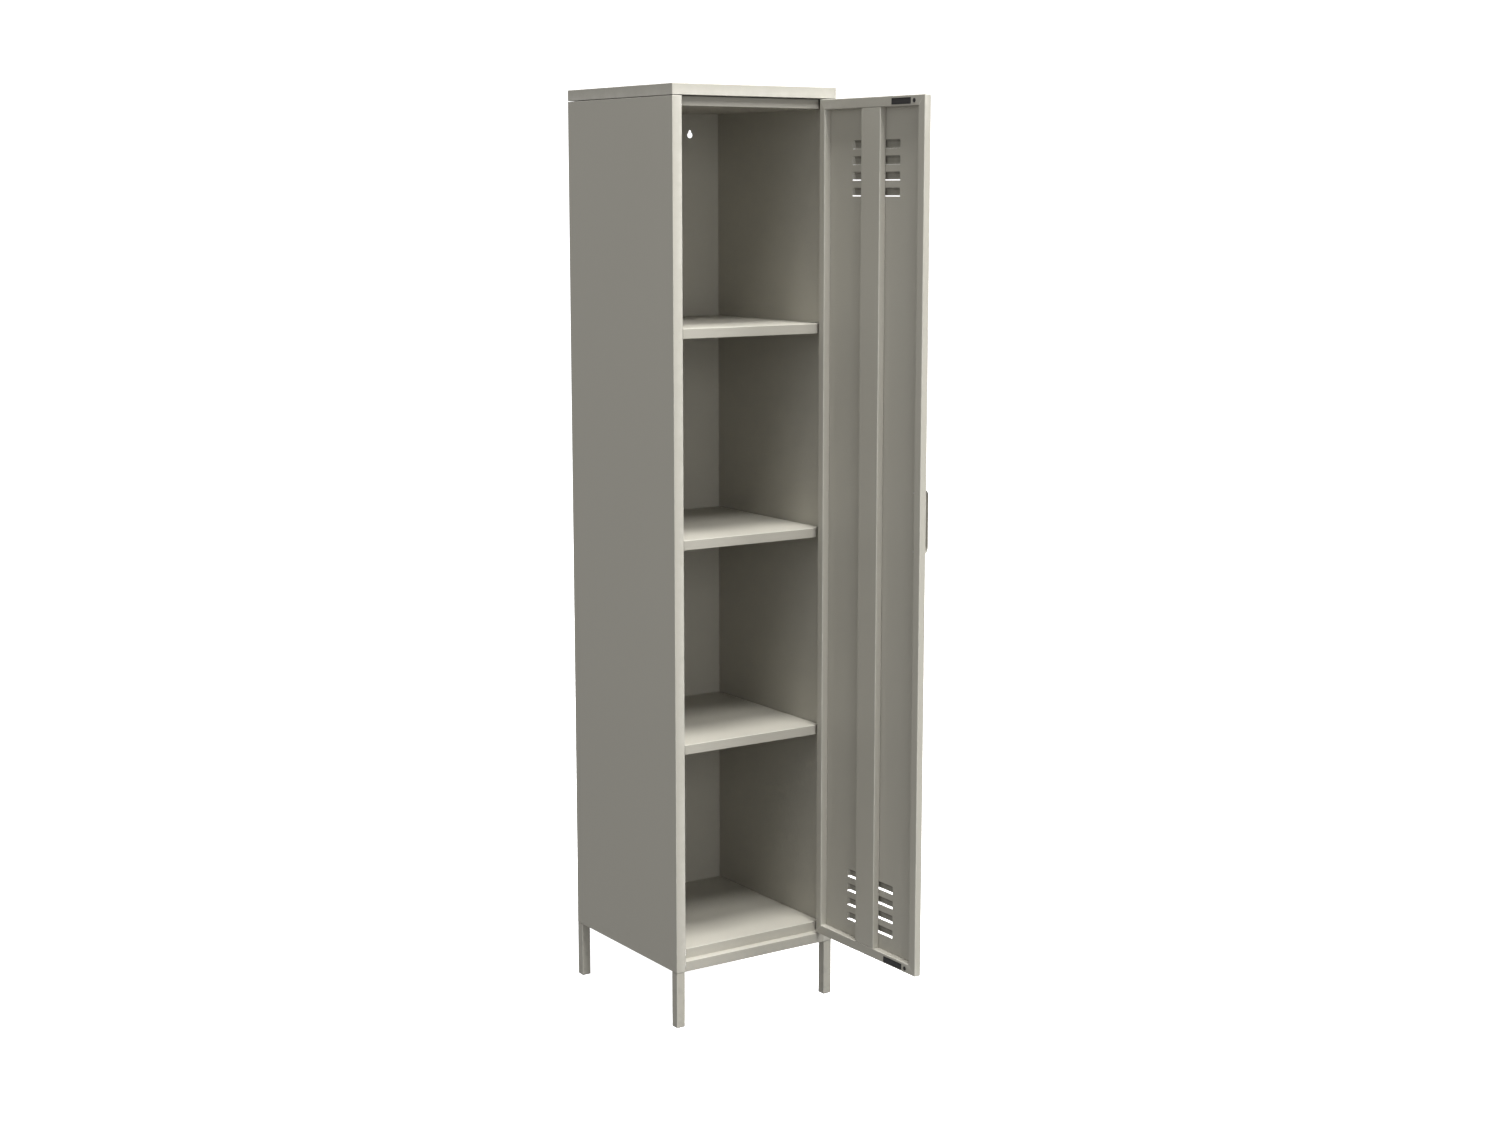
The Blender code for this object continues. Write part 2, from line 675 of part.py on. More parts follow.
def door_stiffener(door, origin):
    """The channel down the middle of the door, level with the flange, its feet turned in on the skin."""
    half = SHEET / 2
    centre = DOOR_HINGE_EDGE - DOOR_WIDTH / 2
    face, foot = DOOR_THICK - half, SHEET + GAP + half
    wide, narrow = STIFFENER_WIDTH / 2 - half, STIFFENER_WIDTH / 2 - STIFFENER_FOOT
    base = wide + 0.0010
    path = [
        (centre - narrow, foot), (centre - base, foot), (centre - wide, face),
        (centre + wide, face), (centre + base, foot), (centre + narrow, foot),
    ]
    bm = bmesh.new()
    span = (DOOR_BOTTOM + FLANGE + GAP, DOOR_TOP - FLANGE - GAP)
    strip_into(bm, path, SHEET, DOOR_BEND - half, span, "xy")
    piece = add_object("door_stiffener", bm, door, origin)
    smooth(piece)
    return piece


def magnet(name, z, door, origin):
    """A magnetic catch: a bar set in the flange, standing slightly proud of it, with eased edges."""
    x, face = magnet_centre_x(), DOOR_THICK + MAGNET_PROUD
    levels = [(0.0, DOOR_THICK - MAGNET_DEEP), (0.0, face - MAGNET_EASE), (MAGNET_EASE, face)]
    corners = ((-1, -1), (-1, 1), (1, 1), (1, -1))
    bm = bmesh.new()
    rings = []
    for shrink, y in levels:
        a, b = MAGNET_LENGTH / 2 - shrink, MAGNET_WIDTH / 2 - shrink
        rings.append([bm.verts.new((x + i * a, y, z + j * b)) for i, j in corners])
    bm.faces.new(list(reversed(rings[0])))
    for a, b in zip(rings, rings[1:]):
        bridge(bm, a, b)
    bm.faces.new(rings[-1])
    bmesh.ops.recalc_face_normals(bm, faces=bm.faces)
    return add_object(name, bm, door, origin)


def buffer(name, z, door, origin):
    """A rubber buffer: a domed button on the flange, with a stem and a barb through its hole."""
    tip, barb = (0.0012, -0.0050), (0.0024, -0.0024)
    rim, crown = 0.0007, (BUFFER_RADIUS * 0.7, 0.0012)
    profile = [
        tip, barb, (BUFFER_STEM, -0.0018), (BUFFER_STEM, GAP),
        (BUFFER_RADIUS, GAP), (BUFFER_RADIUS, rim), crown,
    ]
    bm = bmesh.new()
    turned_into(bm, (buffer_centre_x(), DOOR_THICK, z), "y", profile, 20)
    bmesh.ops.recalc_face_normals(bm, faces=bm.faces)
    piece = add_object(name, bm, door, origin)
    smooth(piece)
    return piece


def handle(door, origin):
    """A bow of flat bar, bent tightly at its two feet and widely where the bow leaves its legs."""
    half = HANDLE_THICK / 2
    end, face = HANDLE_LENGTH / 2 - half, -GAP - half
    out = -(HANDLE_OUT - half)
    foot = end - HANDLE_FOOT
    path = [
        (HANDLE_HEIGHT - foot, face), (HANDLE_HEIGHT - end, face), (HANDLE_HEIGHT - end, out),
        (HANDLE_HEIGHT + end, out), (HANDLE_HEIGHT + end, face), (HANDLE_HEIGHT + foot, face),
    ]
    placed = bend_points(path[:3], HANDLE_FOOT_BEND, 3)[:-1]
    placed += bend_points(path[1:5], HANDLE_BEND - half, 6)[1:-1]
    placed += bend_points(path[3:], HANDLE_FOOT_BEND, 3)[1:]
    x = handle_centre_x()
    span = (x - HANDLE_WIDTH / 2, x + HANDLE_WIDTH / 2)
    bm = bmesh.new()
    swept_into(bm, placed, HANDLE_THICK, span, "zy")
    piece = add_object("handle", bm, door, origin)
    holes = bmesh.new()
    for z in handle_screw_heights().values():
        turned_into(holes, (x, 0, z), "y", [(SCREW_HOLE, -0.006), (SCREW_HOLE, 0.003)], 16)
    bmesh.ops.recalc_face_normals(holes, faces=holes.faces)
    cut(piece, add_object("handle_cutter", holes, door, origin))
    smooth(piece)
    return piece


def handle_screw(name, z, door, origin):
    """A pan-head screw through the handle's foot and the door's skin, with its end inside the door."""
    seat, end = -GAP - HANDLE_THICK - GAP, 0.0045
    edge, crown, crown_radius = seat - 0.0012, seat - 0.0022, 0.0026
    profile = [
        (SCREW_RADIUS, end), (SCREW_RADIUS, seat), (SCREW_HEAD_RADIUS, seat),
        (SCREW_HEAD_RADIUS, edge), (crown_radius, crown),
    ]
    bm = bmesh.new()
    turned_into(bm, (handle_centre_x(), 0, z), "y", profile, 20)
    bmesh.ops.recalc_face_normals(bm, faces=bm.faces)
    piece = add_object(name, bm, door, origin)
    smooth(piece)
    return piece


# ---- hinges: the body's leaf has the two outer knuckles, the door's leaf the middle one ----
def hinge_leaf(name, height, knuckles, plate_side, plate_reach, parent, origin):
    """A leaf with its knuckles. plate_side is the plate's low and high x, measured from the axis."""
    steps, past_end = 24, 0.001
    low, high = plate_side
    neck_back = 0.0035
    half = HINGE_LENGTH / 2
    front, back = PIVOT_Y + HINGE_PLATE_FRONT, PIVOT_Y + plate_reach
    middle = (PIVOT_X, PIVOT_Y, 0)
    plate = bmesh.new()
    box_into(plate, (PIVOT_X + low, front, height - half), (PIVOT_X + high, back, height + half))
    piece = add_object(name, plate, parent, origin)
    barrels, necks, bore = bmesh.new(), bmesh.new(), bmesh.new()
    for z0, z1 in knuckles:
        turned_into(barrels, middle, "z", [(KNUCKLE_RADIUS, z0), (KNUCKLE_RADIUS, z1)], steps)
        box_into(necks, (PIVOT_X + low, PIVOT_Y, z0), (PIVOT_X + high, PIVOT_Y + neck_back, z1))
        turned_into(bore, middle, "z", [(KNUCKLE_BORE, z0 - past_end), (KNUCKLE_BORE, z1 + past_end)], steps)
    tools = (("barrels", barrels, "UNION"), ("necks", necks, "UNION"), ("bore", bore, "DIFFERENCE"))
    for label, bm, operation in tools:
        cut(piece, add_object(f"{name}_{label}_cutter", bm, parent, origin), operation)
    smooth(piece)
    return piece


def hinge_pin(name, base, frame):
    """A pin with a head below and a rounded end above."""
    top, tip, head_low, chamfer = base + HINGE_LENGTH + GAP, 0.0008, 0.0014, 0.0002
    profile = [
        (PIN_HEAD_RADIUS / 2, base - head_low), (PIN_HEAD_RADIUS, base - head_low + chamfer),
        (PIN_HEAD_RADIUS, base - GAP), (PIN_RADIUS, base - GAP), (PIN_RADIUS, top), (tip, top + chamfer * 2),
    ]
    bm = bmesh.new()
    turned_into(bm, (PIVOT_X, PIVOT_Y, 0), "z", profile, 24)
    bmesh.ops.recalc_face_normals(bm, faces=bm.faces)
    piece = add_object(name, bm, frame)
    smooth(piece)
    return piece


def hinge(place, height, frame, door, origin):
    third = HINGE_LENGTH / 3
    base = height - HINGE_LENGTH / 2
    outer = [(base, base + third - KNUCKLE_PLAY), (base + 2 * third + KNUCKLE_PLAY, base + HINGE_LENGTH)]
    middle = [(base + third, base + 2 * third)]
    body_side = (KNUCKLE_RADIUS - HINGE_PLATE, KNUCKLE_RADIUS)
    door_side = (DOOR_LEAF_SIDE, DOOR_LEAF_SIDE + HINGE_PLATE)
    body_name, door_name = f"hinge_body_leaf_{place}", f"hinge_door_leaf_{place}"
    body = hinge_leaf(body_name, height, outer, body_side, BODY_LEAF_REACH, frame, (0, 0, 0))
    leaf = hinge_leaf(door_name, height, middle, door_side, DOOR_LEAF_REACH, door, origin)
    return body, leaf, hinge_pin(f"hinge_pin_{place}", base, frame)


# ---- the whole locker ----
def clear_scene():
    for piece in list(bpy.data.objects):
        bpy.data.objects.remove(piece, do_unlink=True)


def add_empty(name, parent, location, turn=0.0):
    empty = bpy.data.objects.new(name, None)
    bpy.context.scene.collection.objects.link(empty)
    empty.parent = parent
    empty.location = location
    empty.rotation_euler = (0, 0, turn)
    return empty


def build_cabinet(frame):
    for word, side in (("left", -1), ("right", 1)):
        paint(side_panel(f"side_panel_{word}", side, frame), *POWDER_COAT)
        paint(side_liner(f"side_liner_{word}", side, frame), *POWDER_COAT)
    paint(back_panel(frame), *POWDER_COAT)
    paint(top_cap(frame), *POWDER_COAT)
    paint(tray("ceiling_panel", CEILING_BOTTOM, CEILING_TOP - CEILING_BOTTOM, frame), *POWDER_COAT)
    paint(tray("floor_panel", FLOOR_TOP, RAIL_TOP + GAP - FLOOR_TOP, frame), *POWDER_COAT)
    paint(base_rail("base_rail_front", 0.0, 1, frame), *POWDER_COAT)
    paint(base_rail("base_rail_rear", DEPTH, -1, frame), *POWDER_COAT)
    for word, level in SHELF_TOPS.items():
        paint(tray(f"shelf_{word}", level, -SHELF_LIP, frame), *POWDER_COAT)
        for side_word, side in (("left", -1), ("right", 1)):
            for end_word, y in CLIP_PLACES.items():
                name = f"shelf_clip_{word}_{end_word}_{side_word}"
                paint(shelf_clip(name, side, y, level, frame), *ZINC)


def build_legs(frame):
    inset = LEG_SIDE / 2 + LEG_INSET
    for side_word, side in (("left", -1), ("right", 1)):
        for end_word, y in (("front", inset), ("rear", DEPTH - inset)):
            x = side * (HALF - inset)
            paint(leg(f"leg_{end_word}_{side_word}", x, y, frame), *POWDER_COAT)
            paint(foot_cap(f"foot_cap_{end_word}_{side_word}", x, y, frame), *FOOT_PLASTIC)
            paint(leg_bolt(f"leg_bolt_{end_word}_{side_word}", x, y, frame), *ZINC)


def build_door(frame, door, origin):
    paint(door_panel(door, origin), *POWDER_COAT)
    paint(door_stiffener(door, origin), *POWDER_COAT)
    for word, z in catch_levels().items():
        paint(magnet(f"door_magnet_{word}", z, door, origin), *MAGNET_BLACK)
        paint(buffer(f"door_buffer_{word}", z, door, origin), *BLACK_RUBBER)
    paint(handle(door, origin), *POWDER_COAT)
    for word, z in handle_screw_heights().items():
        paint(handle_screw(f"handle_screw_{word}", z, door, origin), *ZINC)
    for place, height in HINGE_CENTRES.items():
        for piece in hinge(place, height, frame, door, origin):
            paint(piece, *(ZINC if "pin" in piece.name else POWDER_COAT))


def main():
    clear_scene()
    frame = add_empty("cabinet_frame", None, (0, FRONT_Y, 0))
    pivot = (PIVOT_X, PIVOT_Y, 0)
    door = add_empty("door_pivot", frame, pivot, DOOR_OPEN)
    build_cabinet(frame)
    build_legs(frame)
    build_door(frame, door, pivot)


main()
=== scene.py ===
"""The looks of a school locker of folded sheet steel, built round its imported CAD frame.

Sizes are in metres, in the frame's own axes: X to the right, Y to the back, Z up. Places are worked out from
the CAD nodes' boxes. Each sheet-metal piece is made again here as a folded sheet with finer bends than the
CAD's, and the small hardware as turned and formed solids. The back panel, the leg bolts and the hinges stay
as they are. The door's pieces are drawn by their distance from the hinge edge, their depth behind the door's
skin, and their height.
"""

import json
import math

import bmesh
import bpy
from mathutils import Matrix, Vector


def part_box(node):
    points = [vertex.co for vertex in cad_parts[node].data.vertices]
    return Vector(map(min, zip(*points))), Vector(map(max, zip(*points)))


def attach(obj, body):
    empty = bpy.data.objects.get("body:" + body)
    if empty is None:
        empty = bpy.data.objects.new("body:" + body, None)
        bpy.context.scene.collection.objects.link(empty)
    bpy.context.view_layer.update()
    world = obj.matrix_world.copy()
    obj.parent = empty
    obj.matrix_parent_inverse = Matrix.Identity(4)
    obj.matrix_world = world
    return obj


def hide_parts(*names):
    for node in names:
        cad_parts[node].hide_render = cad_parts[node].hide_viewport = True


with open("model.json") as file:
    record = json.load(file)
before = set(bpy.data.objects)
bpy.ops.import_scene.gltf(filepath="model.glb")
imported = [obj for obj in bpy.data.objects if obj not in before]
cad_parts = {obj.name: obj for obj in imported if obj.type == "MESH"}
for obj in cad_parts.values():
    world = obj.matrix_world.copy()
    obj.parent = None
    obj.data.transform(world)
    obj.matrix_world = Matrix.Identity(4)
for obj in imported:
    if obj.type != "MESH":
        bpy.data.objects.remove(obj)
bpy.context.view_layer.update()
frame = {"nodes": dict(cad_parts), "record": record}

# ---- sizes ----
# the sheet and its bends
SHEET = 0.0007
GAP = 0.0003
BEND = 0.0010
DOOR_BEND = 0.0015
BEND_STEPS = 5
ROUND_STEPS = 28
EASE_STEPS = 3

# in degrees: a turn that is a corner, an edge that is eased, and an edge that is shaded as sharp
CORNER_ANGLE = 20
EASE_ANGLE = 50
SHARP_ANGLE = 40

# the cabinet's sheets
REBATE = 0.0145
REBATE_HEM = 0.010
HEM_TRIM = 0.006
POST_RELIEF = 0.0026
LINER_FRONT_FLANGE = 0.012
LINER_REAR_FLANGE = 0.018
CAP_RETURN = 0.012
SIDE_LIP = 0.0080
CORNER_RELIEF = 0.010
TRAY_NOTCH_DEPTH = 0.0040
TRAY_NOTCH_WIDTH = 0.0118
TRAY_REAR_RELIEF = 0.0012
RAIL_FOOT = 0.026
CLIP_SHEET = 0.0012

# legs and feet
LEG_WALL = 0.0015
LEG_PLATE = 0.0030
LEG_CORNER = 0.0012
LEG_INNER_CORNER = 0.0004
LEG_INSET = 0.0002
BOLT_HOLE = 0.0034
FOOT_SOLE = 0.0012
FOOT_EASE = 0.0006
FOOT_RIB = 0.0003
FOOT_RIB_PITCH = 0.0040

# the door and its louvres
DOOR_THICK = 0.0146
FLANGE = 0.0195
HINGE_FLANGE = 0.0170
RETURN_SLANT = 0.0015
RETURN_CLEAR = 0.0005
STIFFENER_FOOT = 0.012
STIFFENER_SPLAY = 0.0010
LOUVRE_WIDTH = 0.151
LOUVRE_HEIGHT = 0.0172
LOUVRE_SLIT = 0.0020
TIGHT_SLIT = 0.0004
TIGHT_FROM = 1.690
LOUVRE_OUT = 0.0055
LOUVRE_TAPER = 0.0050
LOUVRE_PITCH = 0.0300
LOUVRE_COUNT = 4
LOUVRE_STARTS = (0.1885, 1.6400)
HOOD_STEPS = 6
HOOD_SPANS = 6
HOOD_ROWS = (0.0, 0.05, 0.11, 0.16, 0.22, 0.40, 0.70, 1.0)
HOOD_SHOULDER = 0.22
HOOD_SHOULDER_RISE = 0.55
NOTCH_WIDE = 0.0036
NOTCH_DEEP = 0.0014
NOTCH_CLEAR = 0.0020
CUT_REACH = 0.003
BORE_REACH = 0.006

# catches, buffers, handle and screws
MAGNET_RIM = 0.0012
MAGNET_POCKET = 0.0008
MAGNET_WALL_SLANT = 0.0001
MAGNET_PLATE = 0.0004
MAGNET_PLATE_GAP = 0.00015
MAGNET_EASE = 0.00025
BUFFER_STEM = 0.0016
BUFFER_TIP = 0.0012
BUFFER_BARB = 0.0024
BUFFER_BARB_AT = 0.0024
BUFFER_STEM_AT = 0.0018
BUFFER_EDGE = 0.0005
BUFFER_DIMPLE = 0.0004
BUFFER_HOLE = 0.0020
HANDLE_THICK = 0.0012
HANDLE_BEND = 0.016
HANDLE_FOOT_BEND = 0.0018
HANDLE_FOOT = 0.016
HANDLE_EASE = 0.0003
SCREW_HOLE = 0.0024
SCREW_SHANK = 0.0020
SCREW_HEAD = 0.0022
RECESS_HALF = 0.00045
RECESS_REACH = 0.0021
RECESS_DEEP = 0.0013
DOME_STEPS = 6

# the powder coat's colours
POWDER = (0.385, 0.368, 0.318)
POWDER_LIGHT = (0.405, 0.389, 0.339)
POWDER_SPECK = (0.33, 0.315, 0.272)
# lighter bends: partly wear, partly a painted highlight along the edges
POWDER_WORN_AND_HIGHLIGHT = (0.52, 0.505, 0.452)
# painted shade inside the louvre hoods
POWDER_HOOD_SHADE = (0.13, 0.123, 0.105)
POWDER_SCUFF = (0.24, 0.23, 0.20)


# ---- meshes ----
def add_object(name, bm):
    """Makes an object of the shape in bm, and frees bm."""
    mesh = bpy.data.meshes.new(name)
    bm.to_mesh(mesh)
    bm.free()
    piece = bpy.data.objects.new(name, mesh)
    bpy.context.scene.collection.objects.link(piece)
    return piece


def apply_modifiers(piece):
    """Gives the piece the mesh that its modifiers make."""
    graph = bpy.context.evaluated_depsgraph_get()
    mesh = bpy.data.meshes.new_from_object(piece.evaluated_get(graph))
    piece.modifiers.clear()
    piece.data = mesh


def settle(piece, degrees=SHARP_ANGLE):
    """Applies the piece's modifiers, shades it smooth with flat faces kept flat, and marks its bends."""
    face_weight = 100
    apply_modifiers(piece)
    mesh = piece.data
    mesh.shade_smooth()
    mesh.set_sharp_from_angle(angle=math.radians(degrees))
    mark_bends(mesh)
    weighted = piece.modifiers.new("flat_faces", "WEIGHTED_NORMAL")
    weighted.keep_sharp = True
    weighted.weight = face_weight
    return piece


def mark_bends(mesh):
    """Writes the attribute "bend": 1 on the crown of an outward bend, 0 on flats, hollows and cut edges."""
    gentle, cut_edge = 0.2, 0.7
    bm = bmesh.new()
    bm.from_mesh(mesh)
    layer = bm.verts.layers.float.new("bend")
    for vert in bm.verts:
        folds = [e.calc_face_angle_signed(0.0) for e in vert.link_edges if e.is_manifold]
        vert[layer] = float(any(gentle < fold < cut_edge for fold in folds))
    bm.to_mesh(mesh)
    bm.free()


def box_into(bm, low, high):
    """A box between two corners."""
    xs, ys, zs = zip(low, high)
    v = [bm.verts.new((x, y, z)) for z in zs for y in ys for x in xs]
    for quad in ((0, 2, 3, 1), (4, 5, 7, 6), (0, 1, 5, 4), (2, 6, 7, 3), (0, 4, 6, 2), (1, 3, 7, 5)):
        bm.faces.new([v[i] for i in quad])


def bridge(bm, ring_a, ring_b):
    """Joins two closed rings of vertices with a band of faces."""
    count = len(ring_a)
    for i in range(count):
        j = (i + 1) % count
        bm.faces.new((ring_a[i], ring_a[j], ring_b[j], ring_b[i]))


def turned_into(bm, centre, axis, profile):
    """A turned solid: profile lists (radius, place along the axis "x" or "z") between two flat ends."""
    rings = []
    for radius, along in profile:
        ring = []
        for i in range(ROUND_STEPS):
            angle = math.tau * i / ROUND_STEPS
            a, b = radius * math.cos(angle), radius * math.sin(angle)
            offset = (along, a, b) if axis == "x" else (a, b, along)
            ring.append(bm.verts.new(Vector(centre) + Vector(offset)))
        rings.append(ring)
    bm.faces.new(list(reversed(rings[0])))
    for a, b in zip(rings, rings[1:]):
        bridge(bm, a, b)
    bm.faces.new(rings[-1])
    bmesh.ops.recalc_face_normals(bm, faces=bm.faces)


def bend_points(path, radius, steps=BEND_STEPS):
    """The 2D path with its corners as arcs: a list of (point, unit normal on the path's left)."""
    points = [Vector(p) for p in path]

    def left(direction):
        return Vector((-direction.y, direction.x))

    placed = [(points[0], left((points[1] - points[0]).normalized()))]
    for before, corner, after in zip(points, points[1:], points[2:]):
        d_in = (corner - before).normalized()
        d_out = (after - corner).normalized()
        turn = math.atan2(d_in.cross(d_out), d_in.dot(d_out))
        side = 1 if turn > 0 else -1
        start = corner - d_in * radius * math.tan(abs(turn) / 2)
        centre = start + left(d_in) * radius * side
        for i in range(steps + 1):
            normal = Matrix.Rotation(turn * i / steps, 2) @ left(d_in)
            placed.append((centre - normal * radius * side, normal))
    placed.append((points[-1], left((points[-1] - points[-2]).normalized())))
    return placed


def swept_into(bm, placed, thickness, span, place):
    """A strip along the placed points, half its thickness to each side. place gives a point in 3D."""
    rings = []
    for point, normal in placed:
        offset = normal * thickness / 2
        corners = (
            (point + offset, span[0]), (point - offset, span[0]),
            (point - offset, span[1]), (point + offset, span[1]),
        )
        rings.append([bm.verts.new(place(*p, across)) for p, across in corners])
    bm.faces.new(rings[0])
    for a, b in zip(rings, rings[1:]):
        bridge(bm, a, b)
    bm.faces.new(list(reversed(rings[-1])))
    bmesh.ops.recalc_face_normals(bm, faces=bm.faces)


# how a strip's outline (a, b) lies: drawn in plan, in side section, or from the front
def in_plan(a, b, across):
    return (a, b, across)


def in_section(a, b, across):
    return (across, a, b)


def in_front(a, b, across):
    return (a, across, b)


def strip(name, path, span, place, thickness=SHEET, radius=BEND - SHEET / 2):
    """A bent strip: the path is its middle line, and the span is where it starts and ends across it."""
    bm = bmesh.new()
    swept_into(bm, bend_points(path, radius), thickness, span, place)
    return settle(add_object(name, bm))


# ---- folded sheets: a surface with marked folds, which is then bevelled and given its thickness ----
def new_sheet():
    """An empty surface whose edges can be marked as folds."""
    bm = bmesh.new()
    bm.edges.layers.float.new("bevel_weight_edge")
    return bm


def mark_fold(bm, edges):
    layer = bm.edges.layers.float["bevel_weight_edge"]
    for edge in edges:
        edge[layer] = 1.0


def fold_flap(bm, edge_verts, offset, trim=0.0):
    """Folds a flap out of a row of vertices, moved by offset. The flap's ends are cut back by trim."""
    along = (edge_verts[-1].co - edge_verts[0].co).normalized()
    far = [bm.verts.new(v.co + Vector(offset)) for v in edge_verts]
    far[0].co += along * trim
    far[-1].co -= along * trim
    folds = []
    for i in range(len(edge_verts) - 1):
        face = bm.faces.new((edge_verts[i], far[i], far[i + 1], edge_verts[i + 1]))
        folds.append(next(e for e in face.edges if set(e.verts) == {edge_verts[i], edge_verts[i + 1]}))
    mark_fold(bm, folds)
    return far


def fold_band(bm, ring, targets):
    """Folds a closed band out of a ring of vertices to the target places, with folds at its corners."""
    far = [bm.verts.new(p) for p in targets]
    count = len(ring)
    folds = []
    for i in range(count):
        j = (i + 1) % count
        face = bm.faces.new((ring[i], ring[j], far[j], far[i]))
        folds.append(next(e for e in face.edges if set(e.verts) == {ring[i], ring[j]}))
    for i in range(count):
        back = ring[i].co - ring[i - 1].co
        ahead = ring[(i + 1) % count].co - ring[i].co
        if back.angle(ahead) > math.radians(CORNER_ANGLE):
            folds.append(bm.edges.get((ring[i], far[i])))
    mark_fold(bm, folds)
    return far


def sheet_object(name, bm, outward, bend=BEND):
    """Gives a folded surface its thickness on the inner side. outward is the first face's outward side."""
    bmesh.ops.recalc_face_normals(bm, faces=bm.faces)
    bm.faces.ensure_lookup_table()
    if bm.faces[0].normal.dot(Vector(outward)) < 0:
        bmesh.ops.reverse_faces(bm, faces=bm.faces)
    piece = add_object(name, bm)
    bevel = piece.modifiers.new("bends", "BEVEL")
    bevel.limit_method = "WEIGHT"
    bevel.width = bend
    bevel.segments = BEND_STEPS
    solid = piece.modifiers.new("thickness", "SOLIDIFY")
    solid.thickness = SHEET
    solid.offset = -1.0
    solid.use_even_offset = True
    return piece


def cut(piece, bm):
    """Takes the shape in bm out of the piece."""
    cutter = add_object("cutter", bm)
    modifier = piece.modifiers.new("cut", "BOOLEAN")
    modifier.operation = "DIFFERENCE"
    modifier.solver = "EXACT"
    modifier.object = cutter
    apply_modifiers(piece)
    bpy.data.objects.remove(cutter, do_unlink=True)


def soften(piece, width):
    """Rounds the piece's hard edges a little."""
    bevel = piece.modifiers.new("soft_edges", "BEVEL")
    bevel.width = width
    bevel.segments = EASE_STEPS
    bevel.angle_limit = math.radians(EASE_ANGLE)


# ---- cabinet ----
def middle_of(node):
    """The middle of a CAD node's box."""
    low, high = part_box(node)
    return (low + high) / 2


def bore_into(bm, place, z, radius):
    """An upright bore through a sheet at height z, at the place's own X and Y."""
    turned_into(bm, (place.x, place.y, z), "z", [(radius, -BORE_REACH), (radius, BORE_REACH)])


def side_panel(word, side):
    """A shallow pan: outer skin, four walls, and on the front wall a rebate return with a stiffening hem."""
    low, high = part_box(f"side_panel_{word}")
    outer, inner = (high.x, low.x) if side > 0 else (low.x, high.x)
    outline = [
        (low.y, low.z), (high.y, low.z), (high.y, high.z),
        (low.y, high.z), (low.y, high.z - POST_RELIEF), (low.y, low.z + POST_RELIEF),
    ]
    bm = new_sheet()
    skin = [bm.verts.new((outer, y, z)) for y, z in outline]
    bm.faces.new(skin)
    rim = fold_band(bm, skin, [Vector((inner, y, z)) for y, z in outline])
    rebate = fold_flap(bm, rim[4:], (0, REBATE, 0))
    fold_flap(bm, rebate, (side * REBATE_HEM, 0, 0), trim=HEM_TRIM)
    piece = sheet_object("side_panel", bm, (side, 0, 0))
    apply_modifiers(piece)
    holes = bmesh.new()
    for end in ("front", "rear"):
        bore_into(holes, middle_of(f"leg_bolt_{end}_{word}"), low.z, BOLT_HOLE)
    cut(piece, holes)
    return settle(piece)


def side_liner(word, side):
    """The inner wall: a flat sheet with a flange folded outwards in front and one folded inwards behind."""
    low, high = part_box(f"side_liner_{word}")
    half = SHEET / 2
    inner = min(abs(low.x), abs(high.x))
    wall, front, rear = inner + LINER_REAR_FLANGE, low.y + half, high.y - half
    path = [
        (side * (wall + LINER_FRONT_FLANGE), front), (side * wall, front),
        (side * wall, rear), (side * inner, rear),
    ]
    return strip("side_liner", path, (low.z, high.z), in_plan)


def rectangle(low, high, z, inset=0.0):
    """The corners of a box's plan at height z, moved inwards by inset."""
    xs, ys = (low.x + inset, high.x - inset), (low.y + inset, high.y - inset)
    return [Vector(p) for p in ((xs[0], ys[0], z), (xs[1], ys[0], z), (xs[1], ys[1], z), (xs[0], ys[1], z))]


def top_cap():
    """The lid: a flat top with a lip all round, folded back inwards at its lower edge."""
    low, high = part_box("top_cap")
    bm = new_sheet()
    top = [bm.verts.new(p) for p in rectangle(low, high, high.z)]
    bm.faces.new(top)
    lip = fold_band(bm, top, rectangle(low, high, low.z))
    fold_band(bm, lip, rectangle(low, high, low.z, CAP_RETURN))
    return settle(sheet_object("top_cap", bm, (0, 0, 1)))


def tray(node, upturned=False):
    """A shelf-like pan with a front lip, narrower lips at its sides and back, and notched front corners."""
    low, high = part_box(node)
    level, lip = (low.z, high.z - low.z) if upturned else (high.z, low.z - high.z)
    outer, inner = high.x, high.x - TRAY_NOTCH_WIDTH
    notch_back = low.y + TRAY_NOTCH_DEPTH
    lip_front, lip_back = notch_back + CORNER_RELIEF, high.y - CORNER_RELIEF
    right = [(inner, low.y), (inner, notch_back), (outer, notch_back), (outer, lip_front)]
    right += [(outer, lip_back), (outer, high.y), (outer - TRAY_REAR_RELIEF, high.y)]
    bm = new_sheet()
    v = [bm.verts.new((x, y, level)) for x, y in right]
    v += [bm.verts.new((-x, y, level)) for x, y in reversed(right)]
    bm.faces.new(v)
    side_lip = math.copysign(SIDE_LIP, lip)
    fold_flap(bm, [v[-1], v[0]], (0, 0, lip))
    right_side, rear_side, left_side = 3, 6, 9
    for a in (right_side, rear_side, left_side):
        fold_flap(bm, [v[a], v[a + 1]], (0, 0, side_lip))
    return settle(sheet_object("tray", bm, (0, 0, -1 if upturned else 1)))


def base_rail(end, inward):
    """The rail under the floor: a channel open towards the inside. inward is +1 in front and -1 behind."""
    low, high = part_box(f"base_rail_{end}")
    half = SHEET / 2
    face = (low.y if inward > 0 else high.y) + inward * half
    foot, ledge, reach = low.z + half, high.z - half, high.y - low.y - half
    path = [(face + inward * RAIL_FOOT, foot), (face, foot), (face, ledge), (face + inward * reach, ledge)]
    return strip("base_rail", path, (low.x, high.x), in_section)


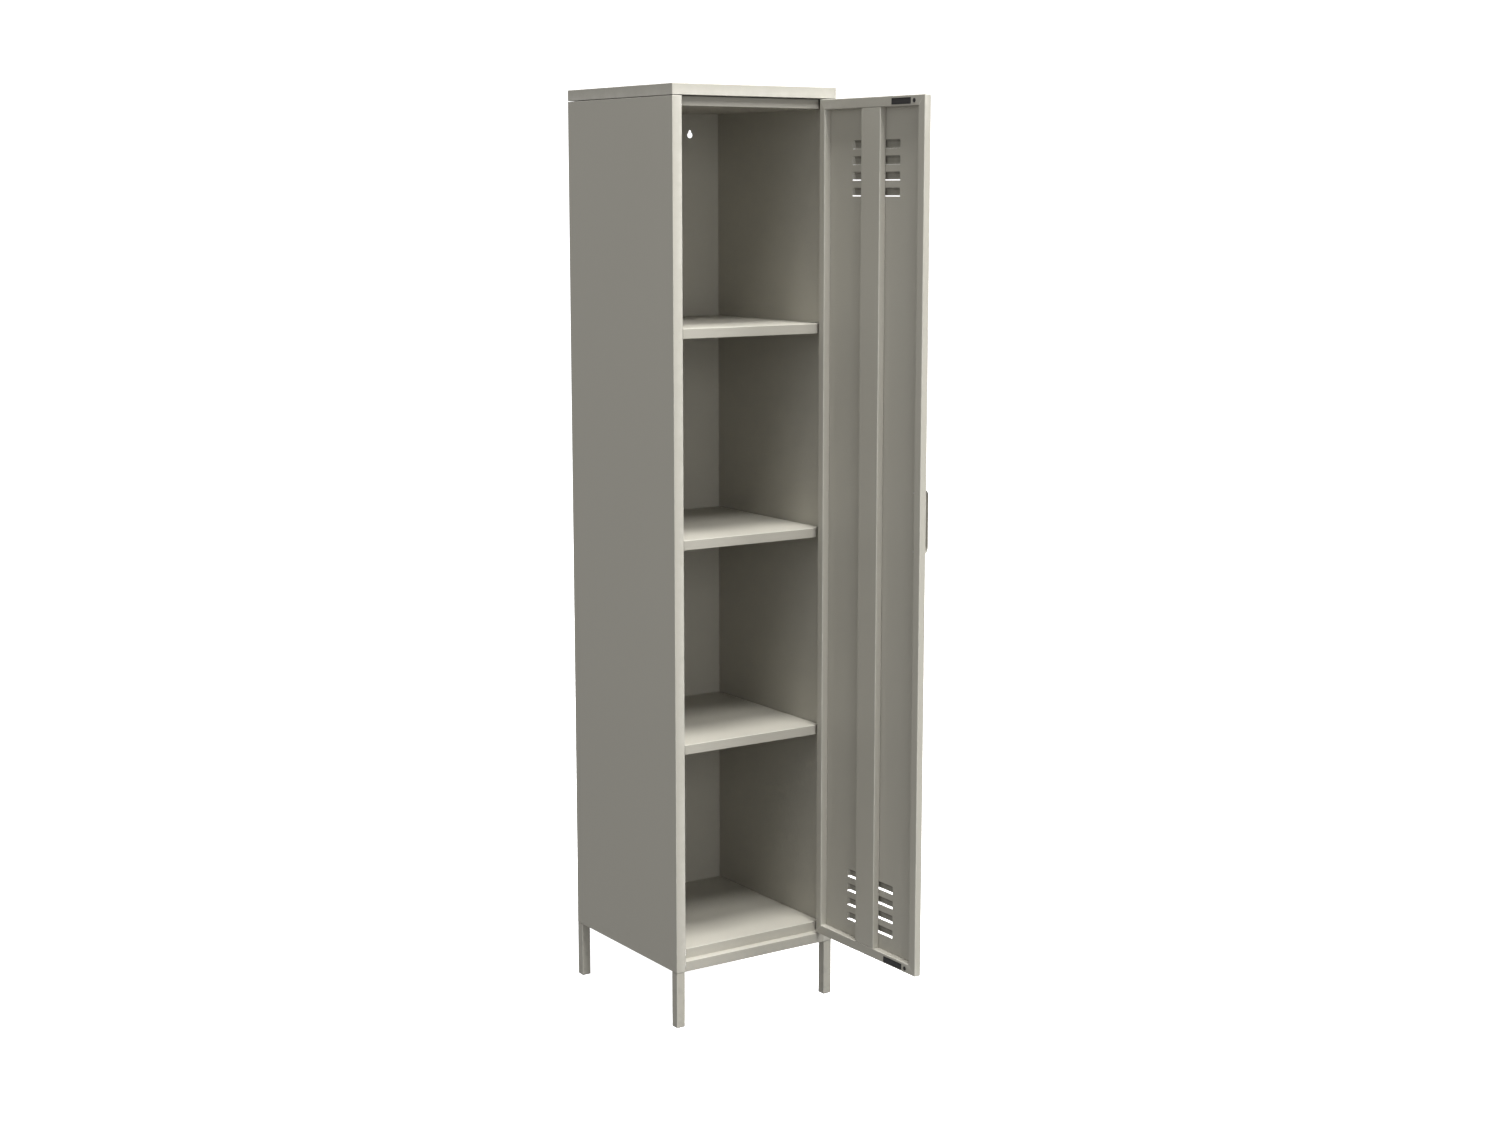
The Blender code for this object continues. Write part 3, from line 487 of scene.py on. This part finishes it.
def shelf_clip(node, side):
    """An angle on the side wall that carries the shelf's side lip."""
    low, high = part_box(node)
    half = CLIP_SHEET / 2
    wall, tip = (high.x - half, low.x) if side > 0 else (low.x + half, high.x)
    path = [(tip, high.z - half), (wall, high.z - half), (wall, low.z)]
    return strip("shelf_clip", path, (low.y, high.y), in_front, CLIP_SHEET, CLIP_SHEET)


def rounded_ring(bm, low, high, z, inset, corner):
    """A ring of vertices round a box's plan at height z, with rounded corners."""
    reach = inset + corner
    centres = ((high.x - reach, high.y - reach), (low.x + reach, high.y - reach))
    centres += ((low.x + reach, low.y + reach), (high.x - reach, low.y + reach))
    ring = []
    for quarter, (x, y) in enumerate(centres):
        for i in range(BEND_STEPS + 1):
            angle = math.pi / 2 * (quarter + i / BEND_STEPS)
            ring.append(bm.verts.new((x + corner * math.cos(angle), y + corner * math.sin(angle), z)))
    return ring


def leg(node, bolt):
    """A square tube with rounded corners, closed above by a bored plate and open below for its foot."""
    low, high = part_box(node)
    inner_levels = (high.z - LEG_PLATE, low.z)
    bm = bmesh.new()
    outer = [rounded_ring(bm, low, high, z, 0, LEG_CORNER) for z in (low.z, high.z)]
    inner = [rounded_ring(bm, low, high, z, LEG_WALL, LEG_INNER_CORNER) for z in inner_levels]
    bm.faces.new(outer[1])
    bm.faces.new(inner[0])
    for a, b in (outer, inner, (inner[1], outer[0])):
        bridge(bm, a, b)
    bmesh.ops.recalc_face_normals(bm, faces=bm.faces)
    piece = add_object("leg", bm)
    hole = bmesh.new()
    bore_into(hole, middle_of(bolt), high.z, BOLT_HOLE)
    cut(piece, hole)
    return settle(piece)


def foot_cap(node):
    """A plastic glide: a thin sole with rounded edges, and a ribbed plug that sits inside the leg."""
    low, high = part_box(node)
    sole, plug = low.z + FOOT_SOLE, LEG_WALL + GAP - LEG_INSET
    levels = [(FOOT_EASE, low.z), (FOOT_EASE / 3, low.z + FOOT_EASE / 3), (0, low.z + FOOT_EASE)]
    levels += [(0, sole), (plug, sole)]
    z = sole + FOOT_RIB_PITCH / 2
    while z + FOOT_RIB_PITCH / 2 < high.z:
        levels += [(plug, z), (plug + FOOT_RIB, z + FOOT_RIB)]
        levels += [(plug + FOOT_RIB, z + FOOT_RIB_PITCH / 2 - FOOT_RIB), (plug, z + FOOT_RIB_PITCH / 2)]
        z += FOOT_RIB_PITCH
    levels.append((plug, high.z))
    bm = bmesh.new()
    rings = [rounded_ring(bm, low, high, z, inset, LEG_CORNER) for inset, z in levels]
    bm.faces.new(list(reversed(rings[0])))
    for a, b in zip(rings, rings[1:]):
        bridge(bm, a, b)
    bm.faces.new(rings[-1])
    bmesh.ops.recalc_face_normals(bm, faces=bm.faces)
    return settle(add_object("foot_cap", bm))


# ---- door: drawn by distance from the hinge edge, depth behind the skin, and height ----
door_low, door_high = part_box("door_panel")
DOOR_WIDTH = door_high.y - door_low.y
DOOR_BOTTOM, DOOR_TOP = door_low.z, door_high.z
SKIN_X = door_low.x + DOOR_THICK


def on_door(across, deep, z):
    """A place on the door, in the frame's axes."""
    return Vector((SKIN_X - deep, door_high.y - across, z))


def across_at(node):
    """How far a CAD node's middle lies from the door's hinge edge."""
    return door_high.y - middle_of(node).y


def hood_columns():
    """Where the skin is divided across the door: closely at the louvres' ends, and widely between them."""
    first, last = (DOOR_WIDTH - LOUVRE_WIDTH) / 2, (DOOR_WIDTH + LOUVRE_WIDTH) / 2
    full = LOUVRE_WIDTH - 2 * LOUVRE_TAPER
    ends = [LOUVRE_TAPER * i / HOOD_STEPS for i in range(HOOD_STEPS)]
    middle = [LOUVRE_TAPER + full * i / HOOD_SPANS for i in range(HOOD_SPANS + 1)]
    return [0.0] + [first + a for a in ends + middle] + [last - a for a in reversed(ends)] + [DOOR_WIDTH]


def hood_rise(share):
    """How far a hood stands out, 0 to 1, at a share of its height from its head to its mouth."""
    if share < HOOD_SHOULDER:
        return HOOD_SHOULDER_RISE * math.sin(math.pi / 2 * share / HOOD_SHOULDER)
    past = (share - HOOD_SHOULDER) / (1 - HOOD_SHOULDER)
    return HOOD_SHOULDER_RISE + (1 - HOOD_SHOULDER_RISE) * past


def louvre_levels():
    """Each louvre's foot, slit and head heights. The uppermost louvres are pressed nearly shut."""
    for start in LOUVRE_STARTS:
        for i in range(LOUVRE_COUNT):
            foot = start + i * LOUVRE_PITCH
            slit = LOUVRE_SLIT if foot < TIGHT_FROM else TIGHT_SLIT
            yield foot, foot + slit, foot + LOUVRE_HEIGHT


def hood_depth(across, z):
    """How far the skin stands out at a place, because of a louvre's hood."""
    tiny = 1e-6
    end = (LOUVRE_WIDTH / 2 - abs(across - DOOR_WIDTH / 2)) / LOUVRE_TAPER
    if end <= tiny:
        return 0.0
    for _, slit, head in louvre_levels():
        if slit - tiny < z < head - tiny:
            return LOUVRE_OUT * hood_rise((head - z) / (head - slit)) * math.sin(math.pi / 2 * min(end, 1.0))
    return 0.0


def door_grid(bm):
    """The skin as a grid, pressed out at each hood and open along each slit. Returns its rim in order."""
    columns = hood_columns()
    rows, feet = [DOOR_BOTTOM, DOOR_TOP], []
    for foot, slit, head in louvre_levels():
        rows += [foot] + [head - (head - slit) * share for share in HOOD_ROWS]
        feet.append(foot)
    rows.sort()
    grid = [[bm.verts.new(on_door(x, -hood_depth(x, z), z)) for x in columns] for z in rows]
    for r, z in enumerate(rows[:-1]):
        for c in range(len(columns) - 1):
            at_slit = z in feet and 0 < c < len(columns) - 2
            if not at_slit:
                bm.faces.new((grid[r][c], grid[r][c + 1], grid[r + 1][c + 1], grid[r + 1][c]))
    sides = [row[-1] for row in grid[1:-1]], [row[0] for row in grid[-2:0:-1]]
    return grid[0] + sides[0] + grid[-1][::-1] + sides[1]


def door_panel():
    """One folded sheet: skin with pressed louvres, four edges, a flange all round and its return."""
    bm = new_sheet()
    edge = door_grid(bm)
    back = fold_band(bm, edge, [v.co + Vector((-DOOR_THICK, 0, 0)) for v in edge])

    def folded_to(deep, slant):
        places = []
        for v in back:
            across = min(max(door_high.y - v.co.y, HINGE_FLANGE + slant), DOOR_WIDTH - FLANGE - slant)
            z = min(max(v.co.z, DOOR_BOTTOM + FLANGE), DOOR_TOP - FLANGE)
            places.append(on_door(across, deep, z))
        return places

    flange = fold_band(bm, back, folded_to(DOOR_THICK, 0))
    fold_band(bm, flange, folded_to(SHEET + RETURN_CLEAR, RETURN_SLANT))
    piece = sheet_object("door_panel", bm, (1, 0, 0), DOOR_BEND)
    apply_modifiers(piece)
    cut(piece, door_holes())
    settle(piece)
    mark_louvres(piece.data)
    return piece


def mark_louvres(mesh):
    """Writes painted shade as an attribute inside the hoods, most at their heads, and takes "bend" off their
    feet and ends.
    """
    least, margin, head_share, full_shade, part_shade = 0.0013, 0.002, 0.6, 1.0, 0.65
    hood_shade, bend = mesh.attributes.new("hood_shade", "FLOAT", "POINT"), mesh.attributes["bend"]
    for vert in mesh.vertices:
        across, z = door_high.y - vert.co.y, vert.co.z
        depth = hood_depth(across, z)
        from_end = LOUVRE_WIDTH / 2 - abs(across - DOOR_WIDTH / 2)
        inside = vert.co.x < SKIN_X + depth - SHEET / 2
        if depth > least and from_end > LOUVRE_TAPER - margin / 2 and inside:
            # painted shade: full near the hoods' heads, less towards their mouths
            hood_shade.data[vert.index].value = full_shade if depth < head_share * LOUVRE_OUT else part_shade
        if depth < least and from_end > -margin and DOOR_BOTTOM + FLANGE < z < DOOR_TOP - FLANGE:
            bend.data[vert.index].value = 0.0


def door_holes():
    """What is cut from the door's sheet: hinge notches, catch windows, and buffer and screw holes."""
    bm = bmesh.new()
    for word in ("bottom", "middle", "top"):
        low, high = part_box(f"hinge_door_leaf_{word}")
        near = on_door(-CUT_REACH, -CUT_REACH, high.z + NOTCH_CLEAR)
        box_into(bm, on_door(NOTCH_WIDE, NOTCH_DEEP, low.z - NOTCH_CLEAR), near)
    for word in ("bottom", "top"):
        low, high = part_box(f"door_magnet_{word}")
        corner = (door_low.x - CUT_REACH, low.y - GAP, low.z - GAP)
        box_into(bm, corner, (door_low.x + CUT_REACH, high.y + GAP, high.z + GAP))
        across, z = across_at(f"door_buffer_{word}"), middle_of(f"door_buffer_{word}").z
        through_into(bm, on_door(across, DOOR_THICK, z), BUFFER_HOLE)
    screw_holes_into(bm)
    bmesh.ops.recalc_face_normals(bm, faces=bm.faces)
    return bm


def through_into(bm, place, radius):
    """A bore through a sheet of the door at a place."""
    turned_into(bm, place, "x", [(radius, -CUT_REACH), (radius, CUT_REACH)])


def screw_holes_into(bm):
    """The handle's two screw holes."""
    for word in ("lower", "upper"):
        node = f"handle_screw_{word}"
        through_into(bm, on_door(across_at(node), 0, middle_of(node).z), SCREW_HOLE)


def door_stiffener():
    """The channel down the middle of the door, level with the flange, its feet turned in on the skin."""
    low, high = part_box("door_stiffener")
    half = SHEET / 2
    middle = across_at("door_stiffener")
    base = (high.y - low.y) / 2 - half
    wide, narrow = base - STIFFENER_SPLAY, base - STIFFENER_FOOT
    face, foot = DOOR_THICK - half, SKIN_X - high.x + half
    path = [
        (middle - narrow, foot), (middle - base, foot), (middle - wide, face),
        (middle + wide, face), (middle + base, foot), (middle + narrow, foot),
    ]
    return strip("door_stiffener", path, (low.z, high.z), on_door, SHEET, DOOR_BEND - half)


def magnet_housing(word):
    """The catch's housing: a rimmed tray in the flange, standing slightly proud of it."""
    low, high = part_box(f"door_magnet_{word}")
    bm = bmesh.new()
    box_into(bm, low, high)
    bmesh.ops.recalc_face_normals(bm, faces=bm.faces)
    face = min(bm.faces, key=lambda f: f.calc_center_median().x)
    bmesh.ops.inset_region(bm, faces=[face], thickness=MAGNET_RIM)
    bmesh.ops.inset_region(bm, faces=[face], thickness=MAGNET_WALL_SLANT, depth=-MAGNET_POCKET)
    piece = add_object("magnet_housing", bm)
    soften(piece, MAGNET_EASE)
    return settle(piece)


def magnet_plate(word):
    """The pole plate that lies in the housing's pocket."""
    low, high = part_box(f"door_magnet_{word}")
    inset = MAGNET_RIM + MAGNET_PLATE_GAP
    back = low.x + MAGNET_POCKET
    bm = bmesh.new()
    corner = (back - MAGNET_PLATE, low.y + inset, low.z + inset)
    box_into(bm, corner, (back, high.y - inset, high.z - inset))
    bmesh.ops.recalc_face_normals(bm, faces=bm.faces)
    piece = add_object(f"magnet_plate_{word}", bm)
    soften(piece, MAGNET_EASE / 2)
    return settle(piece)


def door_buffer(node):
    """A rubber buffer: a domed button with a dimple, on a stem with a barb through the flange."""
    low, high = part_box(node)
    radius, height, crown = (high.z - low.z) / 2, door_low.x - low.x, 0.28
    profile = [(BUFFER_TIP, high.x - door_low.x), (BUFFER_BARB, BUFFER_BARB_AT)]
    profile += [(BUFFER_STEM, BUFFER_STEM_AT), (BUFFER_STEM, -GAP), (radius, -GAP)]
    for i in range(DOME_STEPS + 1):
        angle = math.pi / 2 * i / DOME_STEPS
        reach = radius * (crown + (1 - crown) * math.cos(angle))
        profile.append((reach, -BUFFER_EDGE - (height - BUFFER_EDGE) * math.sin(angle)))
    profile.append((radius * crown / 2, -height + BUFFER_DIMPLE))
    bm = bmesh.new()
    turned_into(bm, on_door(across_at(node), DOOR_THICK, middle_of(node).z), "x", profile)
    return settle(add_object("door_buffer", bm), degrees=EASE_ANGLE)


def handle():
    """A bow of flat bar, bent tightly at its two feet and widely where the bow leaves its legs."""
    low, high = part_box("handle")
    middle, half = (low.z + high.z) / 2, HANDLE_THICK / 2
    end = (high.z - low.z) / 2 - half
    foot = end - HANDLE_FOOT
    face, out = SKIN_X - low.x - half, SKIN_X - high.x + half
    path = [
        (middle - foot, face), (middle - end, face), (middle - end, out),
        (middle + end, out), (middle + end, face), (middle + foot, face),
    ]
    tight_steps, wide_steps = 6, 16
    placed = bend_points(path[:3], HANDLE_FOOT_BEND, tight_steps)[:-1]
    placed += bend_points(path[1:5], HANDLE_BEND - half, wide_steps)[1:-1]
    placed += bend_points(path[3:], HANDLE_FOOT_BEND, tight_steps)[1:]
    bm = bmesh.new()
    swept_into(bm, placed, HANDLE_THICK, (low.y, high.y), lambda z, deep, y: (SKIN_X - deep, y, z))
    piece = add_object("handle", bm)
    holes = bmesh.new()
    screw_holes_into(holes)
    cut(piece, holes)
    soften(piece, HANDLE_EASE)
    return settle(piece)


def handle_screw(node):
    """A pan-head screw with a cross recess, through the handle's foot and the door's skin."""
    low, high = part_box(node)
    place = on_door(across_at(node), 0, middle_of(node).z)
    radius, top, end = (high.z - low.z) / 2, high.x - SKIN_X, low.x - SKIN_X
    seat, crown, rim = top - SCREW_HEAD, 0.35, 0.4
    profile = [(SCREW_SHANK, end), (SCREW_SHANK, seat), (radius, seat)]
    for i in range(DOME_STEPS + 1):
        angle = math.pi / 2 * i / DOME_STEPS
        rise = rim + (1 - rim) * math.sin(angle)
        profile.append((radius * (crown + (1 - crown) * math.cos(angle)), seat + SCREW_HEAD * rise))
    bm = bmesh.new()
    turned_into(bm, place, "x", profile)
    piece = add_object("handle_screw", bm)
    half, reach, deep = RECESS_HALF, RECESS_REACH, top - RECESS_DEEP
    for a, b in ((half, reach), (reach, half)):
        arm = bmesh.new()
        box_into(arm, place + Vector((deep, -a, -b)), place + Vector((top + deep, a, b)))
        bmesh.ops.recalc_face_normals(arm, faces=arm.faces)
        cut(piece, arm)
    return settle(piece)


# ---- materials: solid textures in the object's own metres ----
def add_node(tree, kind, values, **settings):
    """Adds a shader node. Each value is a number or a colour for its socket, or a socket to link to it."""
    node = tree.nodes.new(kind)
    for key, value in settings.items():
        setattr(node, key, value)
    for socket, value in values.items():
        if isinstance(value, bpy.types.NodeSocket):
            tree.links.new(value, node.inputs[socket])
        else:
            node.inputs[socket].default_value = value
    return node


def noise(tree, place, scale, detail=2.0):
    """Noise from 0 to 1. scale is its features per metre."""
    values = {"Vector": place, "Scale": scale, "Detail": detail}
    return add_node(tree, "ShaderNodeTexNoise", values).outputs["Fac"]


def remap(tree, value, source, target):
    """The value, carried from the source range to the target range and held there."""
    ranges = {"Value": value, "From Min": source[0], "From Max": source[1]}
    ranges.update({"To Min": target[0], "To Max": target[1]})
    return add_node(tree, "ShaderNodeMapRange", ranges).outputs["Result"]


def times(tree, a, b):
    return add_node(tree, "ShaderNodeMath", {0: a, 1: b}, operation="MULTIPLY").outputs["Value"]


def attribute(tree, name):
    return add_node(tree, "ShaderNodeAttribute", {}, attribute_name=name).outputs["Fac"]


def blended(tree, share, a, b):
    """Colour a going to colour b by a share."""
    values = {"Factor": share, "A": a if isinstance(a, bpy.types.NodeSocket) else (*a, 1), "B": (*b, 1)}
    return add_node(tree, "ShaderNodeMix", values, data_type="RGBA").outputs["Result"]


def new_material(name):
    """An empty Principled material, with its node tree, shader and place in the object's own metres."""
    material = bpy.data.materials.new(name)
    material.use_nodes = True
    tree = material.node_tree
    place = tree.nodes.new("ShaderNodeTexCoord").outputs["Object"]
    return material, tree, tree.nodes["Principled BSDF"], place


def finish_with(tree, shader, colour, roughness, height, relief):
    """Links a colour and a roughness to the shader, and a height as bumps of the given relief in metres."""
    bump = add_node(tree, "ShaderNodeBump", {"Height": height, "Strength": 1.0, "Distance": relief})
    tree.links.new(colour, shader.inputs["Base Color"])
    tree.links.new(roughness, shader.inputs["Roughness"])
    tree.links.new(bump.outputs["Normal"], shader.inputs["Normal"])


def powder_coat():
    """Powder coat: orange peel, clouds in tone and gloss, bends lighter as wear and painted highlight,
    painted shade in the hoods, scuffs near the floor.
    """
    material, tree, shader, place = new_material("powder_coat")
    shader.inputs["Specular IOR Level"].default_value = 0.45
    cloud = noise(tree, place, scale=2.5, detail=3.0)
    speck = noise(tree, place, scale=1500.0)
    peel = noise(tree, place, scale=900.0)
    smear = noise(tree, place, scale=55.0, detail=5.0)
    colour = blended(tree, cloud, POWDER, POWDER_LIGHT)
    specked = remap(tree, speck, source=(0.55, 0.75), target=(0.0, 0.22))
    colour = blended(tree, specked, colour, POWDER_SPECK)
    # bends lightened by the "bend" attribute, partly as wear and partly as a painted highlight
    wear_and_highlight = remap(tree, smear, source=(0.35, 0.65), target=(0.35, 0.75))
    colour = blended(tree, times(tree, attribute(tree, "bend"), wear_and_highlight), colour, POWDER_WORN_AND_HIGHLIGHT)
    # painted shade inside the louvre hoods, broken up by noise
    shade_share = remap(tree, smear, source=(0.3, 0.7), target=(0.75, 1.0))
    colour = blended(tree, times(tree, attribute(tree, "hood_shade"), shade_share), colour, POWDER_HOOD_SHADE)
    height = add_node(tree, "ShaderNodeSeparateXYZ", {"Vector": place}).outputs["Z"]
    low_down = remap(tree, height, source=(0.02, 0.16), target=(1.0, 0.0))
    scuffed = times(tree, low_down, remap(tree, smear, source=(0.52, 0.66), target=(0.0, 0.30)))
    colour = blended(tree, scuffed, colour, POWDER_SCUFF)
    roughness = remap(tree, cloud, source=(0.3, 0.7), target=(0.44, 0.53))
    finish_with(tree, shader, colour, roughness, peel, relief=0.000006)
    return material


def zinc_steel():
    """Bright zinc plate: a faint crystal pattern, and a drawn grain along Z."""
    bright, dull, stretch = (0.62, 0.62, 0.60), (0.50, 0.50, 0.49), (1.0, 1.0, 0.06)
    material, tree, shader, place = new_material("zinc_steel")
    shader.inputs["Metallic"].default_value = 1.0
    crystal = add_node(tree, "ShaderNodeTexVoronoi", {"Vector": place, "Scale": 420.0})
    drawn = add_node(tree, "ShaderNodeMapping", {"Vector": place, "Scale": stretch}).outputs["Vector"]
    grain = noise(tree, drawn, scale=3200.0, detail=3.0)
    colour = blended(tree, crystal.outputs["Distance"], bright, dull)
    roughness = remap(tree, grain, source=(0.3, 0.7), target=(0.26, 0.42))
    finish_with(tree, shader, colour, roughness, grain, relief=0.000003)
    return material


def moulded(name, dark, light, roughness, grain, relief):
    """A moulded or pressed material: fine relief, patchy tone and gloss. grain is features per metre."""
    patch_size = 12
    material, tree, shader, place = new_material(name)
    fine = noise(tree, place, scale=grain)
    patches = noise(tree, place, scale=grain / patch_size, detail=4.0)
    tone = remap(tree, patches, source=(0.35, 0.75), target=(0.0, 1.0))
    gloss = remap(tree, patches, source=(0.3, 0.7), target=roughness)
    finish_with(tree, shader, blended(tree, tone, dark, light), gloss, fine, relief)
    return material


materials = {
    "powder_coat": powder_coat(),
    "zinc_steel": zinc_steel(),
    "magnet_black": moulded(
        "magnet_black", dark=(0.008, 0.008, 0.009), light=(0.018, 0.018, 0.019),
        roughness=(0.38, 0.55), grain=2600, relief=0.000010,
    ),
    "black_rubber": moulded(
        "black_rubber", dark=(0.010, 0.010, 0.010), light=(0.026, 0.026, 0.025),
        roughness=(0.62, 0.80), grain=1800, relief=0.000016,
    ),
    "foot_plastic": moulded(
        "foot_plastic", dark=(0.135, 0.130, 0.118), light=(0.18, 0.172, 0.155),
        roughness=(0.5, 0.68), grain=1400, relief=0.000012,
    ),
}
ferrite = moulded(
    "ferrite", dark=(0.016, 0.016, 0.017), light=(0.034, 0.034, 0.034),
    roughness=(0.35, 0.6), grain=3000, relief=0.000008,
)


# ---- dressing the frame ----
def body_of(node):
    """The body that a CAD node moves with."""
    bodies = frame["record"]["behaviour"]["bodies"]
    return next(name for name, members in bodies.items() if node in members)


def slot_of(node):
    """The material slot of a CAD node."""
    subparts = frame["record"]["subparts"]
    return next(part["material_slot"] for part in subparts if part["node"] == node)


def fit_out(piece, node, material):
    """Rides the piece on the node's body, with a material."""
    piece.data.materials.clear()
    piece.data.materials.append(material)
    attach(piece, body_of(node))


def stand_for(piece, node):
    """Puts the piece in the CAD node's place, in its slot's material."""
    piece.name = piece.data.name = node + "_fine"
    fit_out(piece, node, materials[slot_of(node)])
    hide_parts(node)


def dress_cabinet():
    for word, side in (("left", -1), ("right", 1)):
        stand_for(side_panel(word, side), f"side_panel_{word}")
        stand_for(side_liner(word, side), f"side_liner_{word}")
        for end in ("front", "rear"):
            corner = f"{end}_{word}"
            stand_for(leg(f"leg_{corner}", f"leg_bolt_{corner}"), f"leg_{corner}")
            stand_for(foot_cap(f"foot_cap_{corner}"), f"foot_cap_{corner}")
            for level in ("lower", "middle", "upper"):
                node = f"shelf_clip_{level}_{corner}"
                stand_for(shelf_clip(node, side), node)
    stand_for(top_cap(), "top_cap")
    stand_for(tray("ceiling_panel", upturned=True), "ceiling_panel")
    for node in ("floor_panel", "shelf_lower", "shelf_middle", "shelf_upper"):
        stand_for(tray(node), node)
    stand_for(base_rail("front", 1), "base_rail_front")
    stand_for(base_rail("rear", -1), "base_rail_rear")


def dress_door():
    stand_for(door_panel(), "door_panel")
    stand_for(door_stiffener(), "door_stiffener")
    stand_for(handle(), "handle")
    for word in ("lower", "upper"):
        stand_for(handle_screw(f"handle_screw_{word}"), f"handle_screw_{word}")
    for word in ("bottom", "top"):
        stand_for(door_buffer(f"door_buffer_{word}"), f"door_buffer_{word}")
        stand_for(magnet_housing(word), f"door_magnet_{word}")
        fit_out(magnet_plate(word), f"door_magnet_{word}", ferrite)


def coat_carried_nodes():
    """Gives every CAD node its slot's material, for those that are shown as they are."""
    for name, node in frame["nodes"].items():
        node.data.materials.clear()
        node.data.materials.append(materials[slot_of(name)])


# ---- studio ----
WHITE = (1, 1, 1, 1)
PAINT = (0.85, 0.85, 0.85, 1)
AIM = (0, 0, 1.0)
FLOOR_RADIUS = 24
DOME_RADIUS = 24.5
CAMERA_PLACE = (-2.495, -3.740, 1.650)
CAMERA_PITCH = 9.21
CAMERA_TURN = 33.79
CAMERA_REACH = 200
SENSOR_WIDTH = 36
LENS = 54.97


def add_area(name, place, size, power):
    """A soft light aimed at the locker's middle. power is in watts."""
    light = bpy.data.lights.new(name, "AREA")
    light.shape = "RECTANGLE"
    light.size, light.size_y = size
    light.energy = power
    lamp = bpy.data.objects.new(name, light)
    bpy.context.scene.collection.objects.link(lamp)
    lamp.location = place
    lamp.rotation_euler = (Vector(AIM) - Vector(place)).to_track_quat("-Z", "Y").to_euler()


def light_studio():
    """Two key lights high in front and overhead, and three fills."""
    add_area("key_front", place=(-0.5, -5.4, 10.2), size=(2.2, 2.0), power=560)
    add_area("key_overhead", place=(-0.5, -2.2, 10.2), size=(2.5, 2.4), power=1130)
    add_area("fill_front", place=(-1.0, -6.0, 2.2), size=(3.0, 3.0), power=64)
    add_area("fill_left", place=(-5.0, -1.5, 3.0), size=(3.0, 3.0), power=36)
    add_area("fill_right", place=(3.8, -5.3, 7.0), size=(3.0, 3.0), power=620)


def light_world():
    """A white surround, a little brighter from below than from above."""
    world = bpy.data.worlds.new("studio")
    bpy.context.scene.world = world
    world.use_nodes = True
    tree = world.node_tree
    direction = tree.nodes.new("ShaderNodeTexCoord").outputs["Generated"]
    height = add_node(tree, "ShaderNodeSeparateXYZ", {"Vector": direction}).outputs["Z"]
    strength = remap(tree, height, source=(-0.5, 0.5), target=(0.40, 0.32))
    background = tree.nodes["Background"]
    background.inputs["Color"].default_value = WHITE
    tree.links.new(strength, background.inputs["Strength"])


def glowing(name):
    """White paint that glows, so that it stays white where no light falls."""
    material = bpy.data.materials.new(name)
    material.use_nodes = True
    shader = material.node_tree.nodes["Principled BSDF"]
    shader.inputs["Base Color"].default_value = PAINT
    shader.inputs["Roughness"].default_value = 0.9
    shader.inputs["Emission Color"].default_value = WHITE
    shader.inputs["Emission Strength"].default_value = 1.0
    return material


def add_floor():
    """A wide white floor, which doesn't light the locker and isn't mirrored in it."""
    bm = bmesh.new()
    bmesh.ops.create_circle(bm, cap_ends=True, segments=96, radius=FLOOR_RADIUS)
    floor = add_object("floor", bm)
    floor.data.materials.append(glowing("floor_paint"))
    floor.visible_diffuse = False
    floor.visible_glossy = False


def add_backdrop():
    """A white dome that only the camera sees."""
    bm = bmesh.new()
    bmesh.ops.create_uvsphere(bm, u_segments=48, v_segments=24, radius=DOME_RADIUS)
    bmesh.ops.reverse_faces(bm, faces=bm.faces)
    dome = add_object("backdrop", bm)
    dome.data.materials.append(glowing("backdrop_paint"))
    dome.visible_diffuse = False
    dome.visible_glossy = False
    dome.visible_transmission = False
    dome.visible_shadow = False


def add_camera():
    """A three-quarter view from the left and a little above."""
    data = bpy.data.cameras.new("camera")
    data.sensor_width = SENSOR_WIDTH
    data.lens = LENS
    data.clip_end = CAMERA_REACH
    camera = bpy.data.objects.new("camera", data)
    bpy.context.scene.collection.objects.link(camera)
    camera.location = CAMERA_PLACE
    camera.rotation_euler = (math.radians(90 - CAMERA_PITCH), 0, -math.radians(CAMERA_TURN))
    bpy.context.scene.camera = camera


bpy.context.scene.view_settings.view_transform = "Standard"
dress_cabinet()
dress_door()
coat_carried_nodes()
light_studio()
light_world()
add_floor()
add_backdrop()
add_camera()
